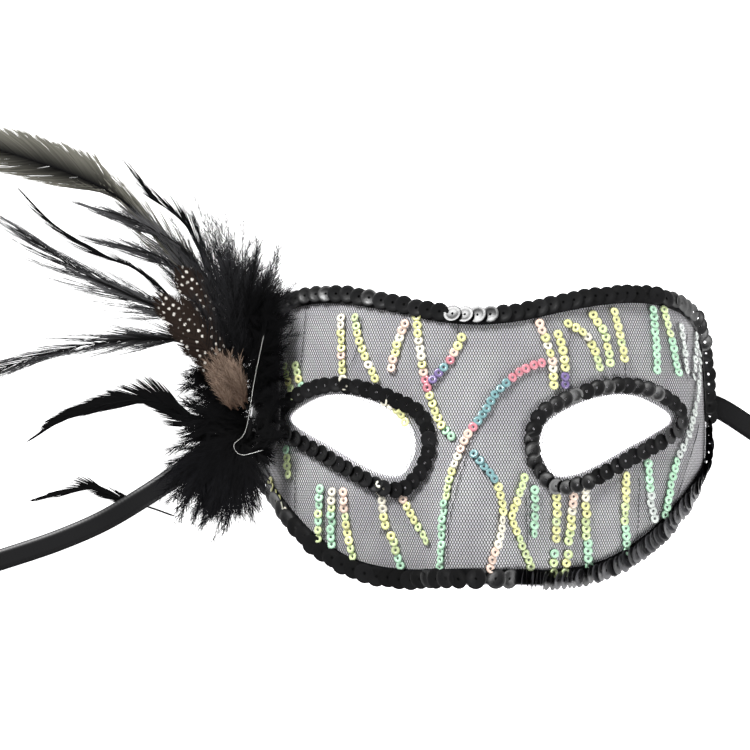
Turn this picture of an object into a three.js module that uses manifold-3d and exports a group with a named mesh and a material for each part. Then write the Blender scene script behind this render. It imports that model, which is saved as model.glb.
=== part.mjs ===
// A half-face masquerade mask lying face up: a moulded shell covered in net, sewn with rows of
// ring sequins, edged in cup sequins, with a feather spray on one temple and two ribbon ties.
// Units are millimetres. +X runs across the face, +Y towards the brow, +Z out of the face.
import * as THREE from "three";
import Module from "manifold-3d";

const manifold = await Module();
manifold.setup();

// ---------------------------------------------------------------- driving sizes
const CHEEK_RADIUS = 110;
const CHEEK_ANGLE = THREE.MathUtils.degToRad(33);
const TEMPLE_RADIUS = 37;
const WALL_ANGLE = Math.PI / 2;
const BROW_HEIGHT = 52.5;
const LIP_DEPTH = 49.5;
const NOSE_HEIGHT = 14;
const NOSE_HALF_WIDTH = 9;
const NOSE_FLARE = 6;
const NOSE_FOOT = -42;
const NOSE_BRIDGE = 30;
const SOCKET_DEPTH = 3;
const SOCKET_MIDDLE = [46, 3];
const SOCKET_SPREAD = [22, 14];
const BROW_BEND = 500;
const BEND_HEIGHT = 5;

const SHELL_THICKNESS = 1.0;
const NET_THICKNESS = 0.3;
const CLEARANCE = 0.3;
const EDGE_OVERHANG = 1.0;
const NET_MARGIN = 1.5;
const NET_INSET = 0.6;

const TRIM_WIDTH = 6;
const TRIM_THICKNESS = 1.2;
const EYE_TRIM_OFFSET = 3.6;
const ROW_WIDTH = 2.6;
const ROW_THICKNESS = 0.35;
const SEWN_CLEARANCE = 0.5;

const TIE_WIDTH = 7.5;
const TIE_THICKNESS = 0.3;
const TIE_HEIGHT = 0.35;
const TIE_SIDE_GAP = 1.25;
const TIE_SLOT = TIE_WIDTH + 2 * TIE_SIDE_GAP;
const TIE_TUCK = 12;
const TIE_LOWEST = 1.6;
const TIE_STEP_OUT = 0.25;
const TIE_STEP_HEIGHT = 0.5;
const PATCH_SIZE = 14;
const PATCH_THICKNESS = 1.2;
const ROLL_OUTER_RADIUS = 27;
const ROLL_INNER_RADIUS = 19.5;
const LEFT_TIE_Y = 4;
const RIGHT_TIE_Y = 12;

const PAD_ACROSS = -81;
const PAD_HEIGHT = 14;
const PAD_HALF_WIDTH = 9;
const PAD_HALF_HEIGHT = 20;
const PAD_THICKNESS = 1.8;
const PAD_END = 0.97;
const SPRAY_ROOT = new THREE.Vector2(-81, 14);
const SPRAY_BASE = 12;
const SPRAY_RISE = 10;
const SPRAY_REACH = 100;
const FEATHER_LAYER = 1.5;
const FEATHER_THICKNESS = 0.6;
const QUILL_HALF_WIDTH = 0.6;
const LOW_FEATHER_HALF_WIDTH = 2.2;
const LOW_FEATHER_BOTTOM = 0.4;
const LOW_FEATHER_TOP = 0.9;
const GLUE_RADIUS = 0.5;
const GLUE_HEIGHT = 41;

// ---------------------------------------------------------------- the formed surface
const CHEEK_LENGTH = CHEEK_RADIUS * CHEEK_ANGLE;
const HALF_PATTERN = CHEEK_LENGTH + TEMPLE_RADIUS * (WALL_ANGLE - CHEEK_ANGLE);
const CHEEK_X = CHEEK_RADIUS * Math.sin(CHEEK_ANGLE);
const CHEEK_DROP = CHEEK_RADIUS * (1 - Math.cos(CHEEK_ANGLE));
const CROWN = CHEEK_DROP + TEMPLE_RADIUS * Math.cos(CHEEK_ANGLE);
const SHELL_EDGE = HALF_PATTERN - EDGE_OVERHANG;

// How far the face stands out from the plain arcs: the nose's ridge, the brow's bend and the sockets.
function relief(across, height) {
  const rise = 1 - THREE.MathUtils.smoothstep(height, NOSE_FOOT, NOSE_BRIDGE);
  const ridge = NOSE_HEIGHT * rise * Math.exp(-((across / (NOSE_HALF_WIDTH + NOSE_FLARE * rise)) ** 2));
  const bend = -((height - BEND_HEIGHT) ** 2) / BROW_BEND;
  const aside = (Math.abs(across) - SOCKET_MIDDLE[0]) / SOCKET_SPREAD[0];
  const above = (height - SOCKET_MIDDLE[1]) / SOCKET_SPREAD[1];
  return ridge + bend - SOCKET_DEPTH * Math.exp(-(aside ** 2 + above ** 2));
}

// A point of the flat pattern, bent round the face and lifted off the inner surface.
function formed(across, height, lift) {
  const reach = Math.abs(across);
  const onCheek = reach <= CHEEK_LENGTH;
  const angle = onCheek ? reach / CHEEK_RADIUS : CHEEK_ANGLE + (reach - CHEEK_LENGTH) / TEMPLE_RADIUS;
  const x = onCheek
    ? CHEEK_RADIUS * Math.sin(angle)
    : CHEEK_X + TEMPLE_RADIUS * (Math.sin(angle) - Math.sin(CHEEK_ANGLE));
  const z = onCheek
    ? CROWN - CHEEK_RADIUS * (1 - Math.cos(angle))
    : TEMPLE_RADIUS * Math.cos(angle);
  const out = relief(across, height) + lift;
  const side = Math.sign(across);
  return new THREE.Vector3(side * (x + out * Math.sin(angle)), height, z + out * Math.cos(angle));
}

// The pattern position whose point lies at a given distance from the middle, seen from the front.
function acrossFromFront(x) {
  const reach = Math.abs(x);
  if (reach <= CHEEK_X) {
    return Math.sign(x) * CHEEK_RADIUS * Math.asin(reach / CHEEK_RADIUS);
  }
  const sine = Math.min(1, Math.sin(CHEEK_ANGLE) + (reach - CHEEK_X) / TEMPLE_RADIUS);
  return Math.sign(x) * (CHEEK_LENGTH + TEMPLE_RADIUS * (Math.asin(sine) - CHEEK_ANGLE));
}

function onPattern(points) {
  return points.map(([x, y]) => new THREE.Vector2(acrossFromFront(x), y));
}

// Outline heights above and below the eye line, as shares of the half pattern and of the two heights.
const BROW_LINE = [
  [0, 0.857], [0.14, 0.88], [0.3, 0.943], [0.46, 0.99], [0.6, 1], [0.72, 0.971],
  [0.82, 0.914], [0.9, 0.838], [0.96, 0.733], [1, 0.629],
];
const LIP_LINE = [
  [0, 0.98], [0.28, 1], [0.475, 0.93], [0.635, 0.758], [0.775, 0.525],
  [0.88, 0.36], [0.95, 0.27], [1, 0.19],
];

// Smooth height along an outline at a share of the half pattern.
function lineHeight(line, share) {
  const last = line.length - 2;
  let i = 0;
  while (i < last && share > line[i + 1][0]) i += 1;
  const [x0, y0] = line[i];
  const [x1, y1] = line[i + 1];
  const slope = (j) => {
    if (j === 0) return 0;
    const next = line[Math.min(j + 1, line.length - 1)];
    return (next[1] - line[j - 1][1]) / (next[0] - line[j - 1][0]);
  };
  const span = x1 - x0;
  const t = (share - x0) / span;
  const start = (1 + 2 * t) * (1 - t) ** 2 * y0 + t * (1 - t) ** 2 * span * slope(i);
  return start + t * t * (3 - 2 * t) * y1 + t * t * (t - 1) * span * slope(i + 1);
}

const shareOf = (across) => Math.min(1, Math.abs(across) / SHELL_EDGE);
const browAt = (across) => BROW_HEIGHT * lineHeight(BROW_LINE, shareOf(across));
const lipAt = (across) => -LIP_DEPTH * lineHeight(LIP_LINE, shareOf(across));

// ---------------------------------------------------------------- solids
const assembly = new THREE.Group();
assembly.name = "masquerade_mask";

const FINISH = {
  shell: { color: 0xe4e1ea, roughness: 0.35, metalness: 0 },
  net: { color: 0x17151a, roughness: 0.9, metalness: 0 },
  trim: { color: 0x0b0b0d, roughness: 0.25, metalness: 0 },
  sequin: { color: 0xd9e58a, roughness: 0.2, metalness: 0.3 },
  felt: { color: 0x1b1a1c, roughness: 1, metalness: 0 },
  ribbon: { color: 0x101013, roughness: 0.45, metalness: 0 },
  feather: { color: 0x1d1d20, roughness: 0.6, metalness: 0 },
  grey: { color: 0x77767a, roughness: 0.8, metalness: 0 },
  spotted: { color: 0x2e211b, roughness: 0.6, metalness: 0 },
  down: { color: 0x9a7f63, roughness: 1, metalness: 0 },
  glue: { color: 0xe9e6dd, roughness: 0.1, metalness: 0 },
};

function add(name, geometry, finish) {
  const mesh = new THREE.Mesh(geometry, new THREE.MeshStandardMaterial(FINISH[finish]));
  mesh.name = name;
  assembly.add(mesh);
  return mesh;
}

function indexed(vertices, triangles) {
  const geometry = new THREE.BufferGeometry();
  const numbers = vertices.flatMap((v) => [v.x, v.y, v.z]);
  geometry.setAttribute("position", new THREE.Float32BufferAttribute(numbers, 3));
  geometry.setIndex(triangles);
  return geometry;
}

// Closed solid between two grids of points, each an array of rows with equal lengths.
function slab(outer, inner) {
  const rows = outer.length;
  const columns = outer[0].length;
  const at = (layer, r, c) => layer * rows * columns + r * columns + c;
  const triangles = [];
  const quad = (a, b, c, d) => triangles.push(a, b, c, a, c, d);
  for (let r = 0; r < rows - 1; r += 1) {
    for (let c = 0; c < columns - 1; c += 1) {
      quad(at(0, r, c), at(0, r, c + 1), at(0, r + 1, c + 1), at(0, r + 1, c));
      quad(at(1, r, c), at(1, r + 1, c), at(1, r + 1, c + 1), at(1, r, c + 1));
    }
  }
  for (let c = 0; c < columns - 1; c += 1) {
    quad(at(0, 0, c), at(1, 0, c), at(1, 0, c + 1), at(0, 0, c + 1));
    quad(at(0, rows - 1, c + 1), at(1, rows - 1, c + 1), at(1, rows - 1, c), at(0, rows - 1, c));
  }
  for (let r = 0; r < rows - 1; r += 1) {
    quad(at(0, r + 1, 0), at(1, r + 1, 0), at(1, r, 0), at(0, r, 0));
    const end = columns - 1;
    quad(at(0, r, end), at(1, r, end), at(1, r + 1, end), at(0, r + 1, end));
  }
  return facingOut(indexed([...outer.flat(), ...inner.flat()], triangles));
}

// Turns every triangle over when the solid was built inside out.
function facingOut(geometry) {
  const position = geometry.attributes.position;
  const index = geometry.index.array;
  const [a, b, c] = [new THREE.Vector3(), new THREE.Vector3(), new THREE.Vector3()];
  let volume = 0;
  for (let i = 0; i < index.length; i += 3) {
    a.fromBufferAttribute(position, index[i]);
    b.fromBufferAttribute(position, index[i + 1]);
    c.fromBufferAttribute(position, index[i + 2]);
    volume += a.dot(b.cross(c));
  }
  if (volume < 0) {
    for (let i = 0; i < index.length; i += 3) {
      [index[i + 1], index[i + 2]] = [index[i + 2], index[i + 1]];
    }
  }
  return geometry;
}

function toManifold(geometry) {
  return new manifold.Manifold(new manifold.Mesh({
    numProp: 3,
    vertProperties: Float32Array.from(geometry.attributes.position.array),
    triVerts: Uint32Array.from(geometry.index.array),
  }));
}

function fromManifold(solid) {
  const { vertProperties, triVerts } = solid.getMesh();
  const geometry = new THREE.BufferGeometry();
  geometry.setAttribute("position", new THREE.Float32BufferAttribute(vertProperties, 3));
  geometry.setIndex(Array.from(triVerts));
  return geometry;
}

function cutAway(geometry, cutters) {
  const whole = toManifold(geometry);
  return fromManifold(cutters.reduce((solid, cutter) => solid.subtract(toManifold(cutter)), whole));
}

// A plug of the closed outline, standing square to the formed surface.
function plug(points, low, high) {
  const outline = THREE.ShapeUtils.isClockWise(points) ? [...points].reverse() : points;
  const faces = THREE.ShapeUtils.triangulateShape(outline, []);
  const count = outline.length;
  const vertices = [low, high].flatMap((lift) => outline.map((p) => formed(p.x, p.y, lift)));
  const triangles = [];
  for (const [a, b, c] of faces) {
    triangles.push(a, c, b, a + count, b + count, c + count);
  }
  for (let i = 0; i < count; i += 1) {
    const j = (i + 1) % count;
    triangles.push(i, j, j + count, i, j + count, i + count);
  }
  return facingOut(indexed(vertices, triangles));
}

// Unit normals to the left of a run of flat points.
function sideNormals(points, closed) {
  const count = points.length;
  return points.map((_, i) => {
    const before = closed ? points[(i + count - 1) % count] : points[Math.max(0, i - 1)];
    const after = closed ? points[(i + 1) % count] : points[Math.min(count - 1, i + 1)];
    return new THREE.Vector2(before.y - after.y, after.x - before.x).normalize();
  });
}

function shifted(points, distance, closed) {
  const normals = sideNormals(points, closed);
  return points.map((p, i) => p.clone().addScaledVector(normals[i], distance));
}

// A flat strip that follows the formed surface along a run of pattern points.
function strip(points, width, low, high, closed = false) {
  const sides = [shifted(points, width / 2, closed), shifted(points, -width / 2, closed)];
  if (closed) sides.forEach((side) => side.push(side[0]));
  const grid = (lift) => sides.map((side) => side.map((p) => formed(p.x, p.y, lift)));
  return closed ? ring(grid(high), grid(low)) : slab(grid(high), grid(low));
}

// A closed band: four loops of points joined into a tube of rectangular section.
function ring(outer, inner) {
  const loops = [outer[0], outer[1], inner[1], inner[0]].map((loop) => loop.slice(0, -1));
  const count = loops[0].length;
  const triangles = [];
  for (let side = 0; side < 4; side += 1) {
    const next = (side + 1) % 4;
    for (let i = 0; i < count; i += 1) {
      const j = (i + 1) % count;
      const [a, b] = [side * count + i, side * count + j];
      const [c, d] = [next * count + j, next * count + i];
      triangles.push(a, b, c, a, c, d);
    }
  }
  return facingOut(indexed(loops.flat(), triangles));
}

function smoothRun(points, spacing, closed = false) {
  const flat = points.map((p) => new THREE.Vector3(p.x, p.y, 0));
  const curve = new THREE.CatmullRomCurve3(flat, closed, "centripetal");
  const count = Math.max(2, Math.round(curve.getLength() / spacing));
  const run = curve.getSpacedPoints(count).map((p) => new THREE.Vector2(p.x, p.y));
  if (closed) run.pop();
  return run;
}

const onTable = (points) => points.map(([x, y]) => new THREE.Vector2(x, y));

// ---------------------------------------------------------------- shell and net
const EYE_OUTLINE = [
  [21, -3], [23, 5.5], [30, 10.5], [38, 14], [48, 15.7], [57, 14], [66, 7.5],
  [60, 2], [52, -2.5], [42, -8], [33, -11.7], [25.5, -11.5],
];
const EYE_SPACING = 2.6;
const eyeRuns = [-1, 1].map((side) => {
  const outline = EYE_OUTLINE.map(([x, y]) => [side * x, y]);
  return smoothRun(onPattern(outline), EYE_SPACING, true);
});

const NOSE_SPAN = 24;
const NOSE_STEP = 3;
const CHEEK_STEPS = 11;
const HEIGHT_STEPS = 14;

function patternColumns(edge) {
  const half = [];
  for (let across = 0; across <= NOSE_SPAN; across += NOSE_STEP) half.push(across);
  for (let i = 1; i <= CHEEK_STEPS; i += 1) {
    half.push(NOSE_SPAN + ((edge - NOSE_SPAN) * i) / CHEEK_STEPS);
  }
  return [...half.slice(1).reverse().map((across) => -across), ...half];
}

function coveredFace(low, high, inset) {
  const grid = (lift) => patternColumns(SHELL_EDGE - inset).map((across) => {
    const column = [];
    const [lip, brow] = [lipAt(across) + inset, browAt(across) - inset];
    for (let i = 0; i <= HEIGHT_STEPS; i += 1) {
      column.push(formed(across, lip + ((brow - lip) * i) / HEIGHT_STEPS, lift));
    }
    return column;
  });
  return slab(grid(high), grid(low));
}

const NET_LOW = SHELL_THICKNESS + CLEARANCE;
const NET_HIGH = NET_LOW + NET_THICKNESS;
const SEWN_LOW = NET_HIGH + SEWN_CLEARANCE;
const TRIM_HIGH = SEWN_LOW + TRIM_THICKNESS;
const CUT_REACH = 6;

const outward = eyeRuns.map((run) => (THREE.ShapeUtils.isClockWise(run) ? 1 : -1));
const eyeHoles = eyeRuns.map((run) => plug(run, -CUT_REACH, CUT_REACH));
const netHoles = eyeRuns.map((run, i) =>
  plug(shifted(run, -outward[i] * NET_MARGIN, true), -CUT_REACH, CUT_REACH));
add("mask_shell", cutAway(coveredFace(0, SHELL_THICKNESS, 0), eyeHoles), "shell");
add("net_cover", cutAway(coveredFace(NET_LOW, NET_HIGH, NET_INSET), netHoles), "net");

// ---------------------------------------------------------------- cup-sequin trims
// The strand's middle line: inside the outline, so that it overhangs the shell's edge all round.
const TRIM_INSET = TRIM_WIDTH / 2 - EDGE_OVERHANG;
const TRIM_SPACING = 4;
const QUARTER_STEPS = 44;
const CORNER_GAP = 1.5;
const BROW_TURN = 3;
const LIP_TURN = 2;
const STRAIGHT_LEAD = 2;

function outlineQuarter(side, above) {
  const edgeLine = above ? browAt : lipAt;
  const points = [];
  for (let i = 0; i <= QUARTER_STEPS; i += 1) {
    const across = (SHELL_EDGE * i) / QUARTER_STEPS;
    points.push(new THREE.Vector2(side * across, edgeLine(across)));
  }
  return points;
}

function trimRun(side, above, slotY) {
  const quarter = outlineQuarter(side, above);
  const slot = slotY + (above ? TIE_SLOT / 2 : -TIE_SLOT / 2);
  const inner = shifted(quarter, (side > 0) === above ? -TRIM_INSET : TRIM_INSET, false);
  const corner = SHELL_EDGE - TRIM_INSET;
  const kept = inner.filter((p) => Math.abs(p.x) <= corner - CORNER_GAP);
  kept[0].x = side * (CLEARANCE / 2);
  const turnIn = above ? browAt(SHELL_EDGE) - BROW_TURN : lipAt(SHELL_EDGE) + LIP_TURN;
  kept.push(new THREE.Vector2(side * corner, turnIn));
  const run = smoothRun(kept.filter((_, i) => i % 4 === 0 || i >= kept.length - 1), TRIM_SPACING);
  // The two sides' runs meet with square ends at the middle of the face.
  run[0].y = run[1].y;
  // The stretch along the temple is straight, so that its lower side is one flat foot.
  run.push(new THREE.Vector2(side * corner, turnIn + Math.sign(slot - turnIn) * STRAIGHT_LEAD));
  run.push(new THREE.Vector2(side * corner, slot));
  return run;
}

const trims = [
  ["trim_brow_left", trimRun(-1, true, LEFT_TIE_Y)],
  ["trim_brow_right", trimRun(1, true, RIGHT_TIE_Y)],
  ["trim_lip_left", trimRun(-1, false, LEFT_TIE_Y)],
  ["trim_lip_right", trimRun(1, false, RIGHT_TIE_Y)],
];
for (const [name, run] of trims) {
  add(name, strip(run, TRIM_WIDTH, SEWN_LOW, TRIM_HIGH), "trim");
}
const eyeTrims = eyeRuns.map((run, i) => shifted(run, outward[i] * EYE_TRIM_OFFSET, true));
add("trim_left_eye", strip(eyeTrims[0], TRIM_WIDTH, SEWN_LOW, TRIM_HIGH, true), "trim");
add("trim_right_eye", strip(eyeTrims[1], TRIM_WIDTH, SEWN_LOW, TRIM_HIGH, true), "trim");

const CLEAR_WIDTH = TRIM_WIDTH + 2 * CLEARANCE;
const CLEAR_REACH = 1;
const cleared = (run, closed) =>
  strip(run, CLEAR_WIDTH, SEWN_LOW - CLEAR_REACH, TRIM_HIGH + CLEAR_REACH, closed);
const keepClear = [
  ...trims.map(([, run]) => cleared(run, false)),
  ...eyeTrims.map((run) => cleared(run, true)),
];

// ---------------------------------------------------------------- rows of ring sequins
// Each row's middle line on the flat pattern; the ends run under the trims and are cut back.
// They are drawn for this size of face, and stretch with its width and above and below the eyes.
const DRAWN_EDGE = 99.164;
const DRAWN_BROW = 52.5;
const DRAWN_LIP = 49.5;
const EYE_TOP = 25;
const EYE_FOOT = 20;
const FULL_STRETCH = 16;
const CHEEK_EDGE = acrossFromFront(CHEEK_X);

function fitted([across, y]) {
  const above = Math.min(1, Math.max(0, y - EYE_TOP) / FULL_STRETCH);
  const below = Math.min(1, Math.max(0, -y - EYE_FOOT) / FULL_STRETCH);
  const stretch = above * (BROW_HEIGHT - DRAWN_BROW) - below * (LIP_DEPTH - DRAWN_LIP);
  const outside = Math.max(0, Math.abs(across) - CHEEK_EDGE) / (DRAWN_EDGE - CHEEK_EDGE);
  return new THREE.Vector2(across + Math.sign(across) * outside * (SHELL_EDGE - DRAWN_EDGE), y + stretch);
}

const ROWS = {
  row_brow_left_1: [[-49.3, 45], [-48.6, 32], [-47.5, 18.5]],
  row_brow_left_2: [[-44.1, 45], [-41.5, 33], [-35.6, 21]],
  row_brow_left_3: [[-25.2, 43], [-27.3, 34], [-29.6, 25]],
  row_bridge_left: [[-21.4, 45], [-17.9, 22], [-15.6, 13.7], [-12.1, 5.8], [-8.4, 1.6]],
  row_bridge_short: [[-5.2, 35], [-9.9, 26.5], [-13, 22.6]],
  row_temple_left_1: [[-72.7, 26], [-69.3, 15]],
  row_lip_left_1: [[-57, -13], [-59.1, -34]],
  row_lip_left_2: [[-52.4, -15], [-53.6, -36]],
  row_lip_left_3: [[-47.8, -15], [-47.5, -28.5], [-45.5, -41]],
  row_lip_left_4: [[-33.8, -15], [-32.4, -29]],
  row_lip_left_6: [[-24.6, -17], [-17.3, -34.3]],
  row_nose_long: [
    [21.7, 26.4], [15.5, 24], [7.2, 17.2], [2, 9.3], [-4.2, -0.7], [-9.3, -14.7], [-11, -27.4], [-12, -45],
  ],
  row_nose_teal: [[-0.7, -4.1], [3.8, -10.3], [6.8, -15], [8.6, -23], [7.6, -32], [4.5, -45]],
  row_nose_fork: [[15.9, -10], [13.4, -20], [12.4, -25], [13.6, -31], [18.3, -45]],
  row_lip_right_1: [[19.3, -14.5], [19.3, -31.6]],
  row_lip_right_2: [[27.1, -14], [27.1, -33.3]],
  row_lip_right_3: [[32.9, -14], [31.6, -30], [31.3, -46]],
  row_lip_right_4: [[37.1, -12], [37.7, -29.8], [39.7, -45]],
  row_lip_right_5: [[52, -6], [52, -26.4], [53.6, -40]],
  row_lip_right_6: [[60.6, -2], [61.4, -19.6], [63.5, -28]],
  row_brow_right_1: [[22.1, 45], [24.8, 30], [25.8, 19]],
  row_brow_right_3: [[31.3, 42], [37.1, 36.7], [40.5, 30.9], [42.2, 25]],
  row_brow_right_4: [[40.4, 47], [44.2, 36.5], [45.9, 28.5]],
  row_brow_right_5: [[48.2, 47], [50.1, 35.3], [51.2, 26]],
  row_brow_right_6: [[63.9, 47], [63.9, 24]],
  row_brow_right_7: [[68.5, 46], [71.5, 31.9], [73.3, 23]],
  row_temple_right: [[88.7, 30], [83.8, 14], [78.5, 2], [71.8, -9], [68.2, -26]],
};
const ROW_SPACING = 3.2;
for (const [name, points] of Object.entries(ROWS)) {
  const run = smoothRun(points.map(fitted), ROW_SPACING);
  add(name, cutAway(strip(run, ROW_WIDTH, SEWN_LOW, SEWN_LOW + ROW_THICKNESS), keepClear), "sequin");
}

// ---------------------------------------------------------------- ribbon ties
// A ribbon given by its middle points and the directions of its width.
function ribbon(stations) {
  const grid = (lift) => [-0.5, 0.5].map((share) => stations.map(({ at, side, up }) =>
    at.clone().addScaledVector(side, share * TIE_WIDTH).addScaledVector(up, lift)));
  return slab(grid(TIE_THICKNESS / 2), grid(-TIE_THICKNESS / 2));
}

const TIE_SPACING = 4;
const TIE_TURN = 18;
const TIE_LEAD = 12;

// Route on the table from the mask's edge to the roll, seen from above, then the twist on to its edge.
const TIE_ROUTES = {
  left: {
    y: LEFT_TIE_Y,
    sign: -1,
    over: [-121, 1.6],
    route: [
      [-84, 2.6], [-93, -3.5], [-104, -10], [-118, -19.5], [-134, -29], [-150, -36],
      [-166, -41.5], [-184, -47], [-203, -52],
    ],
  },
  right: {
    y: RIGHT_TIE_Y,
    sign: 1,
    over: [0, 0],
    route: [[83, 10.5], [88, 7.5], [95, 2.8], [103, -2.6], [112, -8.5], [120, -13.8]],
  },
};
const OVER_SPREAD = 11;
const TIE_LEADS = [1, 3];
const ROLL_SEGMENTS = 32;
const PATCH_EDGE = 2;
const TUCK_LIFT = -2 * CLEARANCE - TIE_THICKNESS / 2;

function tieStations({ y, sign, over, route }) {
  const wall = Math.abs(formed(SHELL_EDGE, y, TUCK_LIFT).x);
  const lowered = [TIE_TUCK, TIE_TUCK / 2, TIE_LOWEST].map((z) => ({
    at: new THREE.Vector3(sign * Math.abs(formed(HALF_PATTERN - z, y, TUCK_LIFT).x), y, z),
    side: new THREE.Vector3(0, 1, 0),
    up: new THREE.Vector3(sign, 0, 0),
  }));
  const underEdge = {
    at: new THREE.Vector3(sign * (wall + TIE_STEP_OUT), y, TIE_STEP_HEIGHT),
    side: new THREE.Vector3(0, 1, 0),
    up: new THREE.Vector3(sign, 0, 1).normalize(),
  };
  const lead = TIE_LEADS.map((gap) => [sign * (wall + gap), y]);
  const run = smoothRun(onTable([...lead, ...route]), TIE_SPACING);
  const normals = sideNormals(run, false);
  const flat = run.map((p, i) => {
    const fromEnd = run.length - 1 - i;
    const turned = (fromEnd * TIE_SPACING - TIE_LEAD) / TIE_TURN;
    const twist = (1 - THREE.MathUtils.clamp(turned, 0, 1)) * (Math.PI / 2);
    const lie = new THREE.Vector3(sign * normals[i].x, sign * normals[i].y, 0);
    const bump = over[1] * Math.exp(-(((p.x - over[0]) / OVER_SPREAD) ** 2));
    return {
      at: new THREE.Vector3(p.x, p.y, TIE_HEIGHT + bump + (TIE_WIDTH / 2) * Math.sin(twist)),
      side: lie.clone().multiplyScalar(Math.cos(twist)).add(new THREE.Vector3(0, 0, Math.sin(twist))),
      up: new THREE.Vector3(0, 0, Math.cos(twist)).addScaledVector(lie, -Math.sin(twist)),
    };
  });
  return [...lowered, underEdge, ...flat];
}

for (const [name, tie] of Object.entries(TIE_ROUTES)) {
  const stations = tieStations(tie);
  add(`${name}_tie_strip`, ribbon(stations), "ribbon");
  const end = stations.at(-1).at;
  const heading = end.clone().sub(stations.at(-2).at).setZ(0).normalize();
  // The roll touches the ribbon's end from the left of its way out, so that its turns run on from it.
  const turnSide = new THREE.Vector3(-heading.y, heading.x, 0);
  const middle = end.clone().addScaledVector(turnSide, ROLL_OUTER_RADIUS + CLEARANCE + TIE_THICKNESS / 2);
  const profile = [
    [ROLL_INNER_RADIUS, -TIE_WIDTH / 2], [ROLL_OUTER_RADIUS, -TIE_WIDTH / 2],
    [ROLL_OUTER_RADIUS, TIE_WIDTH / 2], [ROLL_INNER_RADIUS, TIE_WIDTH / 2],
    [ROLL_INNER_RADIUS, -TIE_WIDTH / 2],
  ].map(([r, z]) => new THREE.Vector2(r, z));
  const roll = new THREE.LatheGeometry(profile, ROLL_SEGMENTS);
  roll.rotateX(Math.PI / 2);
  roll.translate(middle.x, middle.y, TIE_WIDTH / 2 + TIE_HEIGHT);
  add(`${name}_tie_roll`, roll, "ribbon");
  const patchMiddle = tie.sign * (HALF_PATTERN - PATCH_SIZE / 2 - PATCH_EDGE);
  const patchLow = -3 * CLEARANCE - TIE_THICKNESS - PATCH_THICKNESS;
  const patchRun = [-1, -0.5, 0, 0.5, 1].map((share) =>
    new THREE.Vector2(patchMiddle + (share * PATCH_SIZE) / 2, tie.y));
  add(`${name}_tie_patch`, strip(patchRun, PATCH_SIZE, patchLow, patchLow + PATCH_THICKNESS), "felt");
}

// ---------------------------------------------------------------- feather spray
// Height of the spray's lowest layer: it lifts from its root and levels off.
function sprayHeight(x, y) {
  const away = Math.min(1.4, Math.hypot(x - SPRAY_ROOT.x, y - SPRAY_ROOT.y) / SPRAY_REACH);
  return SPRAY_BASE + SPRAY_RISE * Math.sin((away * Math.PI) / 2);
}

// A feather as one thin blade: a rachis seen from above, a vane widest part-way along, its own layer.
const FEATHER_SPACING = 5;
const VANE_RISE = 0.3;

function feather(points, layer, width, bare) {
  const run = smoothRun(onTable(points), FEATHER_SPACING);
  const normals = sideNormals(run, false);
  const half = (i) => {
    const share = i / (run.length - 1);
    const vane = THREE.MathUtils.smoothstep(share, bare, bare + VANE_RISE);
    const tip = Math.sqrt(Math.max(0, 1 - share ** 4));
    return QUILL_HALF_WIDTH + (width / 2 - QUILL_HALF_WIDTH) * vane * tip;
  };
  const grid = (lift) => [1, 0, -1].map((across) => run.map((p, i) => {
    const q = p.clone().addScaledVector(normals[i], across * half(i));
    return new THREE.Vector3(q.x, q.y, sprayHeight(q.x, q.y) + layer * FEATHER_LAYER + lift);
  }));
  return slab(grid(FEATHER_THICKNESS), grid(0));
}

const FEATHERS = {
  feather_curl_low: {
    layer: 0, width: 7, bare: 0.25, finish: "feather",
    rachis: [[-83, 6], [-98.4, 5.1], [-112.2, 12.7], [-125.9, 13], [-143, 8.6], [-155, 1.4]],
  },
  feather_grey_low: {
    layer: 1, width: 9, bare: 0.3, finish: "grey",
    rachis: [[-83, 12], [-98.4, 32.6], [-112.2, 35], [-129.3, 34], [-146.5, 30.9], [-171, 23.5]],
  },
  feather_coque_broad: {
    layer: 2, width: 15, bare: 0.3, finish: "feather",
    rachis: [
      [-83, 22], [-98.4, 51.5], [-112.2, 70.3], [-125.9, 84], [-143, 92.6], [-163.6, 99.5], [-176, 103],
    ],
  },
  feather_fan_upper: {
    layer: 3, width: 8, bare: 0.45, finish: "grey",
    rachis: [[-83, 25], [-98, 60], [-114, 73], [-132.7, 80.6]],
  },
  feather_fan_lower: {
    layer: 4, width: 8, bare: 0.45, finish: "grey",
    rachis: [[-83, 21], [-97, 52], [-110, 62.5], [-126.2, 68.3]],
  },
  feather_quill_upper: {
    layer: 5, width: 3, bare: 0.3, finish: "feather",
    rachis: [[-82, 27], [-98.4, 68.6], [-112, 83], [-119.4, 91.6]],
  },
  feather_hackle_long: {
    layer: 7, width: 7, bare: 0.35, finish: "feather",
    rachis: [[-82, 19], [-112.2, 53.9], [-129.3, 63.5], [-146.5, 73.7], [-159.8, 86.8]],
  },
  feather_hackle_grey: {
    layer: 8, width: 11, bare: 0.3, finish: "feather",
    rachis: [[-82, 15], [-95, 37.7], [-108.7, 44.6], [-125.9, 52.1], [-139.6, 59], [-161.9, 74.1]],
  },
  feather_guinea_long: {
    layer: 9, width: 15, bare: 0.3, finish: "spotted",
    rachis: [[-81, 17], [-89, 34], [-95, 46], [-102, 56]],
  },
  feather_guinea_short: {
    layer: 10, width: 12, bare: 0.3, finish: "spotted",
    rachis: [[-81, 12], [-92, 27], [-101, 39], [-109, 47]],
  },
};
for (const [name, { layer, width, bare, finish, rachis }] of Object.entries(FEATHERS)) {
  add(name, feather(rachis, layer, width, bare), finish);
}

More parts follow.
